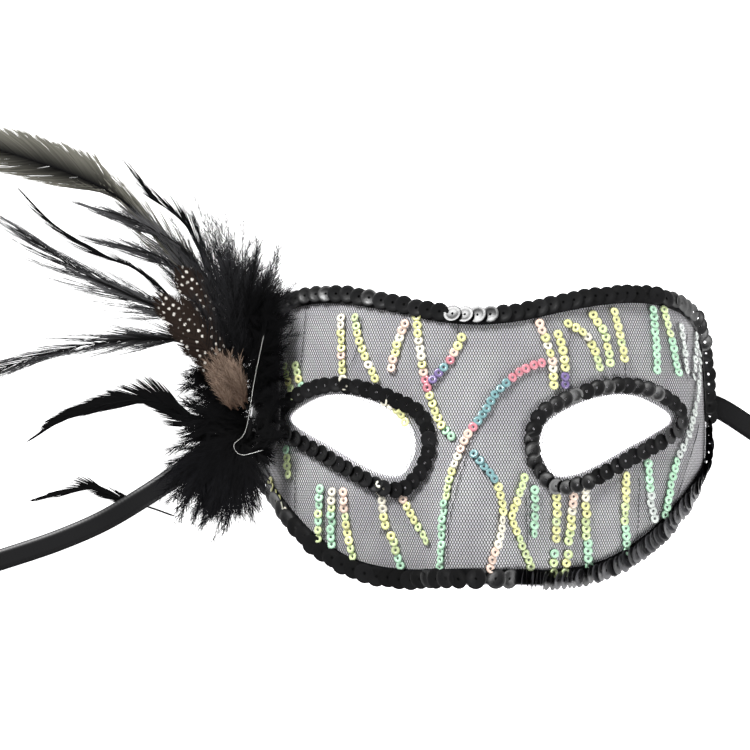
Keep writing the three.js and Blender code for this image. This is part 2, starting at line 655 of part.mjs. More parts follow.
// The small feather that droops to the table and runs under the left ribbon.
const LOW_FEATHER = [
  [-112, -27], [-118, -24.5], [-131, -20.6], [-137.9, -17.8], [-146.5, -18.9], [-157.8, -21.6],
];
const lowRun = smoothRun(onTable(LOW_FEATHER), FEATHER_SPACING);
const lowNormals = sideNormals(lowRun, false);
const lowGrid = (z) => [LOW_FEATHER_HALF_WIDTH, -LOW_FEATHER_HALF_WIDTH].map((half) => lowRun.map((p, i) => {
  const q = p.clone().addScaledVector(lowNormals[i], half);
  return new THREE.Vector3(q.x, q.y, z);
}));
add("feather_under_ribbon", slab(lowGrid(LOW_FEATHER_TOP), lowGrid(LOW_FEATHER_BOTTOM)), "feather");

// Loose down as flattened rounds that lie on the spray, following its height.
function tuft({ middle: [x, y], half: [halfWidth, halfHeight], thickness, layer }) {
  const geometry = new THREE.SphereGeometry(1, 16, 9);
  geometry.rotateX(Math.PI / 2);
  const position = geometry.attributes.position;
  for (let i = 0; i < position.count; i += 1) {
    const px = x + halfWidth * position.getX(i);
    const py = y + halfHeight * position.getY(i);
    const z = sprayHeight(px, py) + layer * FEATHER_LAYER + (thickness / 2) * (1 + position.getZ(i));
    position.setXYZ(i, px, py, z);
  }
  return geometry;
}

const TOP_LAYER = 11.4;
const TUFTS = {
  marabou_upper: { middle: [-84, 60], half: [15, 19], thickness: 7, layer: TOP_LAYER },
  marabou_edge: { middle: [-72, 22], half: [8, 17], thickness: 7, layer: TOP_LAYER },
  marabou_lower: { middle: [-101, -18], half: [18, 13], thickness: 8, layer: 1 },
  down_tan: { middle: [-91, 22], half: [9, 15], thickness: 6, layer: TOP_LAYER },
};
for (const [name, shape] of Object.entries(TUFTS)) {
  add(name, tuft(shape), name === "down_tan" ? "down" : "feather");
}

// Felt pad across the trims at the temple: the quills are glued to it. It is an oval cut square at
// its two ends, laid over the formed surface.
const PAD_ROWS = 10;
const PAD_COLUMNS = 6;

function padGrid(lift) {
  const rows = [];
  for (let i = 0; i <= PAD_ROWS; i += 1) {
    const along = PAD_END * Math.sin(Math.PI * (i / PAD_ROWS - 0.5));
    const half = PAD_HALF_WIDTH * Math.sqrt(1 - along ** 2);
    const row = [];
    for (let j = 0; j <= PAD_COLUMNS; j += 1) {
      const across = PAD_ACROSS + half * ((2 * j) / PAD_COLUMNS - 1);
      row.push(formed(across, PAD_HEIGHT + PAD_HALF_HEIGHT * along, lift));
    }
    rows.push(row);
  }
  return rows;
}

const PAD_LOW = TRIM_HIGH + 2 * CLEARANCE;
add("feather_pad", slab(padGrid(PAD_LOW + PAD_THICKNESS), padGrid(PAD_LOW)), "felt");

// A thread of set glue that trails off the pad and curls at its foot.
const gluePath = new THREE.CatmullRomCurve3([
  [-73.7, 36], [-77, 20], [-79.9, 3.4], [-84, -1.7], [-81.3, -5.1], [-73.7, -3.4],
].map(([x, y]) => new THREE.Vector3(x, y, GLUE_HEIGHT)));
const glueSection = new THREE.Shape();
glueSection.absarc(0, 0, GLUE_RADIUS, 0, 2 * Math.PI);
const glueSweep = { extrudePath: gluePath, steps: 24, curveSegments: 3 };
add("glue_thread", new THREE.ExtrudeGeometry(glueSection, glueSweep), "glue");

// ---------------------------------------------------------------- the row's frame
// Origin under the middle of the mask and its feathers, on the table they lie on.
const tied = (name) => name.includes("_tie_strip") || name.includes("_tie_roll");
const box = new THREE.Box3();
for (const mesh of assembly.children) {
  if (!tied(mesh.name)) box.union(new THREE.Box3().setFromObject(mesh));
}
const middle = box.getCenter(new THREE.Vector3());
for (const mesh of assembly.children) {
  mesh.geometry.translate(-middle.x, -middle.y, -box.min.z);
}

export default assembly;
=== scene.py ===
"""A half-face masquerade mask lying face up on a table.

The shell is covered in net and sewn with sequins; feathers stand at one temple, and a ribbon
leaves each temple. Lengths are in metres, in the part's own frame: +X across the face, +Y to the
brow, +Z up.
"""

import bmesh
import bpy
import numpy as np
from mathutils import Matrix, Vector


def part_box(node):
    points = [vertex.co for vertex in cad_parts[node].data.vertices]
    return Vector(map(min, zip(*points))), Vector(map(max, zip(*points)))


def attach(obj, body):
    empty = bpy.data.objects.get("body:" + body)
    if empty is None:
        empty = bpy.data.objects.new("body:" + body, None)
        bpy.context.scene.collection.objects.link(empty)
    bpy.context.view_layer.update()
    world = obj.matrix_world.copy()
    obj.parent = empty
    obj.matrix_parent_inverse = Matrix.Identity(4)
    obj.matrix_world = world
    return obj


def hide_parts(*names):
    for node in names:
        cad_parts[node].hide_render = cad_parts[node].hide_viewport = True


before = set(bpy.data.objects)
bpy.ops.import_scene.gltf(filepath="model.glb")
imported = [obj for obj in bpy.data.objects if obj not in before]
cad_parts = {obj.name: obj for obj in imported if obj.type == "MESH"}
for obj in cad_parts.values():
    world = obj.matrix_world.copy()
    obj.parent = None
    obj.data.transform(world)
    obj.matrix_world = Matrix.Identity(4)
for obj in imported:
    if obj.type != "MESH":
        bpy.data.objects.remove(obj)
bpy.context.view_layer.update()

# ---- Camera
# A long lens looks straight down at the mask from a little to its plain side.
MM = 0.001
BROW_HEIGHT = 52.5 * MM
shell_low, shell_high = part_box("mask_shell")
HOME = np.array([(shell_low.x + shell_high.x) / 2, shell_high.y - BROW_HEIGHT, 0.0])

LENS = 200.0
SENSOR = 36.0
VIEW_WIDTH = 257 * MM
LEAN = np.radians(4.0)
TARGET = HOME + np.array([-35.5, 22.3, 40.0]) * MM

camera_data = bpy.data.cameras.new("camera")
camera_data.lens = LENS
camera_data.sensor_width = SENSOR
camera = bpy.data.objects.new("camera", camera_data)
camera.location = TARGET + VIEW_WIDTH * LENS / SENSOR * np.array([np.sin(LEAN), 0, np.cos(LEAN)])
camera.rotation_euler = (0, LEAN, 0)
bpy.context.scene.collection.objects.link(camera)
bpy.context.scene.camera = camera


# ---- Ribbon ties
# Black polyester satin ribbon, glued inside each temple and led out under its edge. Each lies flat,
# turns on to its edge and is wound into a loose roll; the left one passes over a small feather.
def unit(vectors):
    return vectors / np.maximum(np.linalg.norm(vectors, axis=-1, keepdims=True), 1e-12)


def course(run):
    """The way along a run at each of its points."""
    return unit(np.gradient(run, axis=0))


def left_of(ways):
    """Directions in plan turned a quarter to the left."""
    return np.stack([-ways[..., 1], ways[..., 0]], axis=-1)


def distance_along(run):
    return np.concatenate([[0], np.cumsum(np.linalg.norm(np.diff(run, axis=0), axis=1))])


def smooth(points, spacing, closed=False):
    """Points evenly spaced along a cubic Hermite run through the given ones, whose slope at each is
    half the way between its neighbours."""
    points = np.asarray(points, float)
    if closed:
        points = np.vstack([points[-1:], points, points[:2]])
    else:
        points = np.vstack([2 * points[0] - points[1], points, 2 * points[-1] - points[-2]])
    t = np.linspace(0, 1, 24, endpoint=False)[:, None]
    slope = (points[2:] - points[:-2]) / 2
    start, end = points[1:-2, None], points[2:-1, None]
    rise, fall = slope[:-1, None], slope[1:, None]
    run = (
        (1 + 2 * t) * (1 - t) ** 2 * start
        + t * (1 - t) ** 2 * rise
        + t**2 * (3 - 2 * t) * end
        + t**2 * (t - 1) * fall
    ).reshape(-1, points.shape[1])
    run = np.vstack([run, points[-2]])
    along = distance_along(run)
    count = max(2, round(along[-1] / spacing))
    at = np.linspace(0, along[-1], count + 1)
    even = np.stack([np.interp(at, along, run[:, i]) for i in range(run.shape[1])], axis=1)
    return even[:-1] if closed else even


def surface(name, patches):
    """One mesh of separate grids. A patch is {"points": (grids, rows, columns, 3)}, with "wrap" for
    the directions that join their last line to their first, and "uv" and "tint" for each point.
    Each face joins the four neighbours (r, c), (r, c+1), (r+1, c+1), (r+1, c)."""
    places, faces, uvs, tints, base = [], [], [], [], 0
    for patch in patches:
        points = patch["points"]
        shape = points.shape[:3]
        index = base + np.arange(np.prod(shape)).reshape(shape)
        base += index.size
        wrap_rows, wrap_columns = patch.get("wrap", (False, False))
        if wrap_rows:
            index = np.concatenate([index, index[:, :1]], axis=1)
        if wrap_columns:
            index = np.concatenate([index, index[:, :, :1]], axis=2)
        corners = [index[:, :-1, :-1], index[:, :-1, 1:], index[:, 1:, 1:], index[:, 1:, :-1]]
        faces.append(np.stack(corners, axis=-1).reshape(-1, 4))
        places.append(points.reshape(-1, 3))
        uvs.append(np.broadcast_to(patch.get("uv", 0.0), (*shape, 2)).reshape(-1, 2))
        tints.append(np.broadcast_to(patch.get("tint", 1.0), (*shape, 3)).reshape(-1, 3))
    places, faces = np.vstack(places), np.vstack(faces)
    mesh = bpy.data.meshes.new(name)
    mesh.vertices.add(len(places))
    mesh.vertices.foreach_set("co", places.ravel())
    mesh.loops.add(faces.size)
    mesh.loops.foreach_set("vertex_index", faces.ravel())
    mesh.polygons.add(len(faces))
    mesh.polygons.foreach_set("loop_start", np.arange(0, faces.size, 4))
    mesh.uv_layers.new(name="uv").data.foreach_set("uv", np.vstack(uvs)[faces.ravel()].ravel())
    tint = mesh.color_attributes.new("tint", "FLOAT_COLOR", "POINT")
    tint.data.foreach_set("color", np.hstack([np.vstack(tints), np.ones((len(places), 1))]).ravel())
    mesh.update(calc_edges=True)
    mesh.validate()
    mesh.shade_smooth()
    piece = bpy.data.objects.new(name, mesh)
    bpy.context.scene.collection.objects.link(piece)
    return piece


def thicken(piece, thickness, offset=0.0):
    wall = piece.modifiers.new("wall", "SOLIDIFY")
    wall.thickness = thickness
    wall.offset = offset
    return piece


def linear(colour):
    """An sRGB hex colour as linear red, green and blue."""
    values = np.array([int(colour[i : i + 2], 16) for i in (0, 2, 4)]) / 255
    return np.where(values <= 0.04045, values / 12.92, ((values + 0.055) / 1.055) ** 2.4)


def shader(name):
    """A new material: its node tree and its Principled shader."""
    material = bpy.data.materials.new(name)
    material.use_nodes = True
    return material, material.node_tree, material.node_tree.nodes["Principled BSDF"]


def node(tree, kind, settings=None, **links):
    """Adds a node, with its settings by property or input name, and its inputs' links or values."""
    made = tree.nodes.new(kind)
    for key, value in (settings or {}).items():
        setattr(made, key, value)
    for key, value in links.items():
        socket = made.inputs[int(key[2:])] if key.startswith("in") else made.inputs[key]
        if isinstance(value, bpy.types.NodeSocket):
            tree.links.new(value, socket)
        else:
            socket.default_value = value
    return made


def finish(piece, material, slot, *nodes):
    """Gives a piece its material, hangs it from the root body and hides the CAD nodes it stands for."""
    piece.data.materials.clear()
    piece.data.materials.append(material)
    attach(piece, "root")
    if nodes:
        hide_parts(*nodes)


def colour4(hex_colour):
    return (*linear(hex_colour), 1.0)


def relieved(tree, skin, pattern, strength, depth):
    """Raises a material's surface by a pattern node's grey value."""
    relief = node(tree, "ShaderNodeBump", Strength=strength, Distance=depth, Height=pattern.outputs["Fac"])
    tree.links.new(relief.outputs["Normal"], skin.inputs["Normal"])


def coloured(tree, skin, source):
    """Links a node's colour to a material's base colour."""
    tree.links.new(source.outputs["Color"], skin.inputs["Base Color"])


# Woven satin: a soft sheen with fine ribs across. The 0.25 mm ribs are drawn at 0.7 mm to show.
RIB_PITCH = 0.7 * MM
WAVE_TURN = 6.28
satin, tree, skin = shader("woven_satin")
skin.inputs["Base Color"].default_value = colour4("0c0c0e")
skin.inputs["Roughness"].default_value = 0.42
weave_uv = node(tree, "ShaderNodeUVMap", {"uv_map": "uv"})
ribs = node(tree, "ShaderNodeTexWave", in0=weave_uv.outputs["UV"], Scale=1 / RIB_PITCH / WAVE_TURN)
relieved(tree, skin, ribs, 0.12, 0.1 * MM)

TIE_WIDTH = 7.5 * MM
TIE_THICKNESS = 0.25 * MM
TIE_LENGTH = 380 * MM
TIE_REST = 0.45 * MM
TIE_STEP = 2 * MM
TIE_TURN = 18 * MM
TIE_LEAD = 12 * MM
ROLL_RADIUS = 27 * MM
ROLL_SPACING = 3.7 * MM
ROLL_SEGMENTS = 48
HUMP_HEIGHT = 1.8 * MM
HUMP_SPREAD = 11 * MM
HUMP_X = -121 * MM
TIE_TUCK = 9 * MM
WALL_X = 75.6 * MM
WALL_FOOT = 2 * MM
WALL_LEADS = (1.2, 3.5)
TIES = {
    "left": (-1, 4, [(-84, 2.6), (-93, -3.5), (-104, -10), (-118, -19.5), (-134, -29), (-150, -36),
                     (-166, -41.5), (-184, -47), (-203, -52)]),
    "right": (1, 12, [(83, 10.5), (88, 7.5), (95, 2.8), (103, -2.6), (112, -8.5), (120, -13.8)]),
}


def tie_line(sign, height, route, hump):
    """The ribbon's middle line and the way its width points: down the inside of the temple, out on
    to the table, along the route, then round a flat spiral whose radius falls evenly."""
    wall = np.array([[sign * WALL_X, height * MM, z] for z in (TIE_TUCK, TIE_TUCK / 2, WALL_FOOT)])
    lead = [(sign * WALL_X / MM + sign * out, height) for out in WALL_LEADS]
    flat = smooth(np.array([*lead, *route]) * MM, TIE_STEP)
    flat = np.column_stack([flat, np.full(len(flat), TIE_REST)])
    left_to_go = (len(flat) - 1 - np.arange(len(flat))) * TIE_STEP
    twist = (1 - np.clip((left_to_go - TIE_LEAD) / TIE_TURN, 0, 1)) * np.pi / 2
    flat[:, 2] += hump * HUMP_HEIGHT * np.exp(-(((flat[:, 0] - HUMP_X) / HUMP_SPREAD) ** 2))
    flat[:, 2] += TIE_WIDTH / 2 * np.sin(twist)
    heading = course(flat[:, :2])
    turned = left_of(heading)
    width = np.column_stack([sign * turned * np.cos(twist)[:, None], np.sin(twist)])
    line = np.vstack([wall, flat])
    width = np.vstack([np.tile([0.0, 1.0, 0.0], (3, 1)), width])
    used = distance_along(line)[-1]
    turns = np.linspace(0, 3, 2000)
    reach = 2 * np.pi * (ROLL_RADIUS * turns - ROLL_SPACING * turns**2 / 2)
    last = np.interp(TIE_LENGTH - used, reach, turns)
    angle = np.linspace(0, last, round(last * ROLL_SEGMENTS))[1:, None]
    centre = flat[-1, :2] + turned[-1] * ROLL_RADIUS
    radius = ROLL_RADIUS - ROLL_SPACING * angle
    swing = 2 * np.pi * angle
    roll = centre + radius * (-turned[-1] * np.cos(swing) + heading[-1] * np.sin(swing))
    roll = np.column_stack([roll, np.full(len(roll), TIE_REST + TIE_WIDTH / 2)])
    line = np.vstack([line, roll])
    width = np.vstack([width, np.tile([0.0, 0.0, 1.0], (len(roll), 1))])
    return line, width


for side, (sign, height, route) in TIES.items():
    line, width = tie_line(sign, height, route, side == "left")
    line[:, :2] += HOME[:2]
    along = distance_along(line)
    across = np.linspace(-0.5, 0.5, 5) * TIE_WIDTH
    grid = line[:, None] + across[None, :, None] * width[:, None]
    weave = np.stack(np.broadcast_arrays(along[:, None], across[None, :]), axis=-1)
    ribbon = surface(f"{side}_ribbon_tie", [{"points": grid[None], "uv": weave[None]}])
    thicken(ribbon, TIE_THICKNESS)
    finish(ribbon, satin, "ribbon", f"{side}_tie_strip", f"{side}_tie_roll")


# ---- Moulded shell
# A thin vacuum-formed plastic shell, white with a lilac-grey satiny cast, with two eye openings.
# Its flat pattern is bent round the face: a wide arc over the cheeks, a tighter one at each temple.
CHEEK_RADIUS = 110 * MM
CHEEK_ANGLE = np.radians(33)
TEMPLE_RADIUS = 37 * MM
NOSE_HEIGHT = 14 * MM
NOSE_HALF_WIDTH = 9 * MM
NOSE_FLARE = 6 * MM
NOSE_FOOT = 42 * MM
NOSE_RISE = 72 * MM
SOCKET_DEPTH = 3 * MM
SOCKET_MIDDLE = np.array([46, 3]) * MM
SOCKET_REACH = np.array([22, 14]) * MM
BROW_BEND = 500 * MM
BEND_MIDDLE = 5 * MM
EDGE_OVERHANG = 1.0 * MM
LIP_DEPTH = 49.5 * MM
SHELL_THICKNESS = 1.0 * MM
CHEEK_LENGTH = CHEEK_RADIUS * CHEEK_ANGLE
HALF_PATTERN = CHEEK_LENGTH + TEMPLE_RADIUS * (np.pi / 2 - CHEEK_ANGLE)
SHELL_EDGE = HALF_PATTERN - EDGE_OVERHANG
CROWN = CHEEK_RADIUS * (1 - np.cos(CHEEK_ANGLE)) + TEMPLE_RADIUS * np.cos(CHEEK_ANGLE)
BROW_LINE = np.array([
    (0, 0.857), (0.14, 0.88), (0.3, 0.943), (0.46, 0.99), (0.6, 1), (0.72, 0.971),
    (0.82, 0.914), (0.9, 0.838), (0.96, 0.733), (1, 0.629),
])
LIP_LINE = np.array([
    (0, 0.98), (0.28, 1), (0.475, 0.93), (0.635, 0.758), (0.775, 0.525),
    (0.88, 0.36), (0.95, 0.27), (1, 0.19),
])
EYE_OUTLINE = np.array([
    (21, -3), (23, 5.5), (30, 10.5), (38, 14), (48, 15.7), (57, 14), (66, 7.5),
    (60, 2), (52, -2.5), (42, -8), (33, -11.7), (25.5, -11.5),
])
EYE_MIDDLE = np.array([44.0, 2.0]) * MM


def formed(across, height, lift):
    """A point of the flat pattern bent round the face: an arc of the cheek's radius, then one of the
    temple's, raised along the arcs' normal by the nose's ridge, less the brow's bend and the eye
    sockets' hollows, and by lift."""
    reach = np.abs(across)
    cheek = np.minimum(reach, CHEEK_LENGTH) / CHEEK_RADIUS
    angle = cheek + np.maximum(reach - CHEEK_LENGTH, 0) / TEMPLE_RADIUS
    beyond = np.maximum(angle, CHEEK_ANGLE)
    x = CHEEK_RADIUS * np.sin(cheek) + TEMPLE_RADIUS * (np.sin(beyond) - np.sin(CHEEK_ANGLE))
    z = CROWN - CHEEK_RADIUS * (1 - np.cos(cheek))
    z = z - TEMPLE_RADIUS * (np.cos(CHEEK_ANGLE) - np.cos(beyond))
    share = np.clip((height + NOSE_FOOT) / NOSE_RISE, 0, 1)
    rise = 1 - share**2 * (3 - 2 * share)
    ridge = NOSE_HEIGHT * rise * np.exp(-((across / (NOSE_HALF_WIDTH + NOSE_FLARE * rise)) ** 2))
    socket = ((reach - SOCKET_MIDDLE[0]) / SOCKET_REACH[0]) ** 2
    socket = socket + ((height - SOCKET_MIDDLE[1]) / SOCKET_REACH[1]) ** 2
    out = ridge - (height - BEND_MIDDLE) ** 2 / BROW_BEND - SOCKET_DEPTH * np.exp(-socket) + lift
    place = [np.sign(across) * (x + out * np.sin(angle)), height + 0 * out, z + out * np.cos(angle)]
    return HOME + np.stack(np.broadcast_arrays(*place), axis=-1)


def from_front(points):
    """Pattern positions of points given in millimetres as seen from the front: each arc undone."""
    points = np.asarray(points, float) * MM
    reach = np.abs(points[..., 0])
    edge = CHEEK_RADIUS * np.sin(CHEEK_ANGLE)
    cheek = CHEEK_RADIUS * np.arcsin(np.clip(reach / CHEEK_RADIUS, 0, 1))
    sine = np.clip(np.sin(CHEEK_ANGLE) + (reach - edge) / TEMPLE_RADIUS, 0, 1)
    temple = CHEEK_LENGTH + TEMPLE_RADIUS * (np.arcsin(sine) - CHEEK_ANGLE)
    across = np.where(reach <= edge, cheek, temple) * np.sign(points[..., 0])
    return np.stack([across, points[..., 1]], axis=-1)


def line_height(line, across):
    """Smooth height of an outline at a place across the pattern: cubic Hermite through its shares."""
    share = np.clip(np.abs(across) / SHELL_EDGE, 0, 1)
    x, y = line.T
    slope = np.gradient(y, x)
    slope[1:-1] = (y[2:] - y[:-2]) / (x[2:] - x[:-2])
    slope[0] = 0
    slope[-1] = (y[-1] - y[-2]) / (x[-1] - x[-2])
    i = np.clip(np.searchsorted(x, share, side="right") - 1, 0, len(x) - 2)
    span = x[i + 1] - x[i]
    t = (share - x[i]) / span
    start = (1 + 2 * t) * (1 - t) ** 2 * y[i] + t * (1 - t) ** 2 * span * slope[i]
    return start + t**2 * (3 - 2 * t) * y[i + 1] + t**2 * (t - 1) * span * slope[i + 1]


def brow_at(across):
    return BROW_HEIGHT * line_height(BROW_LINE, across)


def lip_at(across):
    return -LIP_DEPTH * line_height(LIP_LINE, across)


def bearing(away):
    return np.mod(np.arctan2(away[..., 1], away[..., 0]), 2 * np.pi)


def polar_reach(points, angles):
    """How far a closed line lies from the eye's middle at each angle round it."""
    away = points - EYE_MIDDLE
    turn = bearing(away)
    order = np.argsort(turn)
    return np.interp(angles, turn[order], np.linalg.norm(away, axis=1)[order], period=2 * np.pi)


# One half of the shell runs in rings from the eye opening out to the outline, with a point kept at
# each of the outline's corners; the other half is its mirror.
EYE_STEP = 0.5 * MM
EDGE_POINTS = 400
TEMPLE_POINTS = 120
MIDDLE_POINTS = 300
RING_POINTS = 300
eye_run = smooth(from_front(EYE_OUTLINE), EYE_STEP, closed=True)
edge_across = np.linspace(0, SHELL_EDGE, EDGE_POINTS)
temple_heights = np.linspace(brow_at(SHELL_EDGE), lip_at(SHELL_EDGE), TEMPLE_POINTS)
half_outline = np.vstack([
    np.column_stack([edge_across, brow_at(edge_across)]),
    np.column_stack([np.full(TEMPLE_POINTS, SHELL_EDGE), temple_heights]),
    np.column_stack([edge_across[::-1], lip_at(edge_across[::-1])]),
    np.column_stack([np.zeros(MIDDLE_POINTS), np.linspace(lip_at(0.0), brow_at(0.0), MIDDLE_POINTS)]),
])


corners = np.array([[across, line(across)] for across in (0.0, SHELL_EDGE) for line in (brow_at, lip_at)])
ring_angles = np.linspace(0, 2 * np.pi, RING_POINTS, endpoint=False)
ring_angles = np.unique(np.concatenate([ring_angles, bearing(corners - EYE_MIDDLE)]))
out_from_eye = np.linspace(0, 1, 30)[:, None]
spread = polar_reach(eye_run, ring_angles) * (1 - out_from_eye)
spread = spread + polar_reach(half_outline, ring_angles) * out_from_eye
half = EYE_MIDDLE + spread[..., None] * np.stack([np.cos(ring_angles), np.sin(ring_angles)], axis=-1)
half[..., 0] = np.maximum(half[..., 0], 0)
sides = [formed(side * half[..., 0], half[..., 1], SHELL_THICKNESS / 2) for side in (1, -1)]
sides[0] = sides[0][::-1]
shell = surface("shell_formed", [{"points": np.stack(sides), "wrap": (False, True)}])


def weld(piece, distance=0.02 * MM):
    """Merges doubled points and turns all faces outwards."""
    welded = bmesh.new()
    welded.from_mesh(piece.data)
    bmesh.ops.remove_doubles(welded, verts=welded.verts, dist=distance)
    bmesh.ops.recalc_face_normals(welded, faces=welded.faces)
    welded.to_mesh(piece.data)
    welded.free()


weld(shell)
thicken(shell, SHELL_THICKNESS)

# Vacuum-formed polystyrene with a pearly coat: pale lilac-grey, softly mottled, broad highlights.
moulded, tree, skin = shader("formed_polystyrene")
place = node(tree, "ShaderNodeTexCoord")
mottle = node(tree, "ShaderNodeTexNoise", Vector=place.outputs["Object"], Scale=1 / (9 * MM), Detail=3.0)
pale = node(tree, "ShaderNodeValToRGB", Fac=mottle.outputs["Fac"])
pale.color_ramp.elements[0].color = colour4("e6e3ea")
pale.color_ramp.elements[1].color = colour4("f6f5f7")
pale.color_ramp.elements[0].position, pale.color_ramp.elements[1].position = 0.3, 0.7
coloured(tree, skin, pale)
grain = node(tree, "ShaderNodeTexNoise", Vector=place.outputs["Object"], Scale=1 / (0.8 * MM), Detail=2.0)
relieved(tree, skin, grain, 0.15, 0.08 * MM)
skin.inputs["Roughness"].default_value = 0.34
skin.inputs["Coat Weight"].default_value = 0.25
skin.inputs["Coat Roughness"].default_value = 0.25
finish(shell, moulded, "shell", "mask_shell")

# ---- Net cover
# Black nylon tulle stretched over the shell and glued at its edges: six-sided cells about 0.9 mm
# wide and 1.2 mm high, whose upright walls are two yarns thick. It overlaps the eye openings a
# little.
CELL_WIDTH = 0.92 * MM
CELL_HEIGHT = 1.2 * MM
CELL_RISE = 0.75 * CELL_HEIGHT
SLANT_WIDTH = 0.16 * MM
UPRIGHT_WIDTH = 0.3 * MM
NET_LIFT = 1.3 * MM
NET_MARGIN = 1.5 * MM
NET_INSET = 0.5 * MM


def inside_net(points):
    """Which pattern points lie between the mask's outline and the eye openings' overlapped edge."""
    across, height = points[..., 0], points[..., 1]
    reach = np.abs(across)
    kept = reach < SHELL_EDGE - NET_INSET
    kept &= (height < brow_at(reach) - NET_INSET) & (height > lip_at(reach) + NET_INSET)
    away = np.stack([reach, height], axis=-1) - EYE_MIDDLE
    turn = bearing(away)
    opening = polar_reach(eye_run, turn.ravel()).reshape(turn.shape)
    return kept & (np.linalg.norm(away, axis=-1) > opening - NET_MARGIN)


columns = np.arange(-int(SHELL_EDGE / CELL_WIDTH) - 1, int(SHELL_EDGE / CELL_WIDTH) + 2)
lines = np.arange(-int(LIP_DEPTH / CELL_RISE) - 2, int(BROW_HEIGHT / CELL_RISE) + 2)
column, line_index = np.meshgrid(columns, lines)
middle_x = ((column + 0.5 * (line_index % 2)) * CELL_WIDTH).ravel()
middle_y = (line_index * CELL_RISE).ravel()
# Each cell owns its upper right, upper left and left walls, from one corner of the cell to the next.
corner = np.array([(0.5, 0.25), (0, 0.5), (-0.5, 0.25), (-0.5, -0.25)]) * [CELL_WIDTH, CELL_HEIGHT]
middles = np.column_stack([middle_x, middle_y])
walls = np.stack([middles[:, None] + corner[None, :3], middles[:, None] + corner[None, 1:]], axis=2)
walls = walls.reshape(-1, 2, 2)
walls = walls[inside_net(walls).all(axis=1)]
beside = left_of(unit(walls[:, 1] - walls[:, 0]))
beside = beside * np.where(np.abs(beside[:, :1]) > 0.99, UPRIGHT_WIDTH, SLANT_WIDTH) / 2
strips = np.stack([walls + beside[:, None], walls - beside[:, None]], axis=2)
net = surface("net_tulle", [{"points": formed(strips[..., 0], strips[..., 1], NET_LIFT)}])

# Nylon tulle: matt black thread, a little worn to grey.
tulle, tree, skin = shader("nylon_tulle")
skin.inputs["Base Color"].default_value = colour4("101012")
skin.inputs["Roughness"].default_value = 0.7
finish(net, tulle, "net", "net_cover")

# ---- Cup-sequin edging
# Black PET cup sequins, 6 mm across, sewn as an overlapping strand round the outline and each eye.
CUP_PROFILE = [(0.075, 0.0), (0.3, 0.008), (0.47, 0.045), (0.5, 0.036)]
CUP_SEGMENTS = 18
EDGE_ON = -5
# Base-colour factors for cups that stand nearly edge on: a painted sheen of grey.
PAINTED_SHEEN = (0.5, 16)
SHADES = (0.4, 2)
RIM_SHARE = 0.6
LEAN_SPREAD = 3.5
ROLL_SPREAD = 5
SEAT_SPREAD = 0.15 * MM
GLINT = np.array([-0.23, 0.42, 0.88])
EDGING_INSET = 2.6 * MM
EDGING_LIFT = 2.2 * MM
rng = np.random.default_rng(11)


def frames(run, lift):
    """Places along a pattern run, with the way along it and out of the face, as unit vectors."""
    step = 0.2 * MM
    across, height = run[:, 0], run[:, 1]
    sideways = formed(across + step, height, lift) - formed(across - step, height, lift)
    upwards = formed(across, height + step, lift) - formed(across, height - step, lift)
    place = formed(across, height, lift)
    out = unit(np.cross(sideways, upwards))
    along = course(place)
    return place, unit(along - out * (along * out).sum(axis=1, keepdims=True)), out


def spaced(run, pitch, closed=False):
    """Positions along a pattern run whose places on the face are one pitch apart; pitch may be an
    array with one value for each point of the run."""
    place = formed(run[:, 0], run[:, 1], 0.0)
    steps = np.linalg.norm(np.diff(place, axis=0), axis=1)
    pitch = np.broadcast_to(pitch, len(run))[:-1]
    count = np.concatenate([[0], np.cumsum(steps / pitch)])
    total = max(2, round(count[-1]))
    at = np.linspace(0, count[-1], total + 1)[: total if closed else None]
    return np.column_stack([np.interp(at, count, run[:, 0]), np.interp(at, count, run[:, 1])])


def discs(place, along, out, profile, segments, size, tilt, roll, tint):
    """Round pieces turned from a profile of (radius, height) shares of their diameter: each leans
    along the strand by its tilt and sideways by its roll."""
    tilt, roll = np.radians(tilt)[:, None], np.radians(roll)[:, None]
    side = np.cross(out, along)
    lean = out * np.cos(tilt) - along * np.sin(tilt)
    ahead = along * np.cos(tilt) + out * np.sin(tilt)
    up = lean * np.cos(roll) + side * np.sin(roll)
    side = side * np.cos(roll) - lean * np.sin(roll)
    turn = np.linspace(0, 2 * np.pi, segments, endpoint=False)
    radius, rise = np.array(profile).T
    size = np.broadcast_to(size, len(place))[:, None, None, None]
    place, ahead, side, up = (vectors[:, None, None] for vectors in (place, ahead, side, up))
    flat = np.cos(turn)[:, None] * ahead + np.sin(turn)[:, None] * side
    points = place + size * (radius[:, None, None] * flat + rise[:, None, None] * up)
    return {"points": points, "wrap": (False, True), "tint": tint}


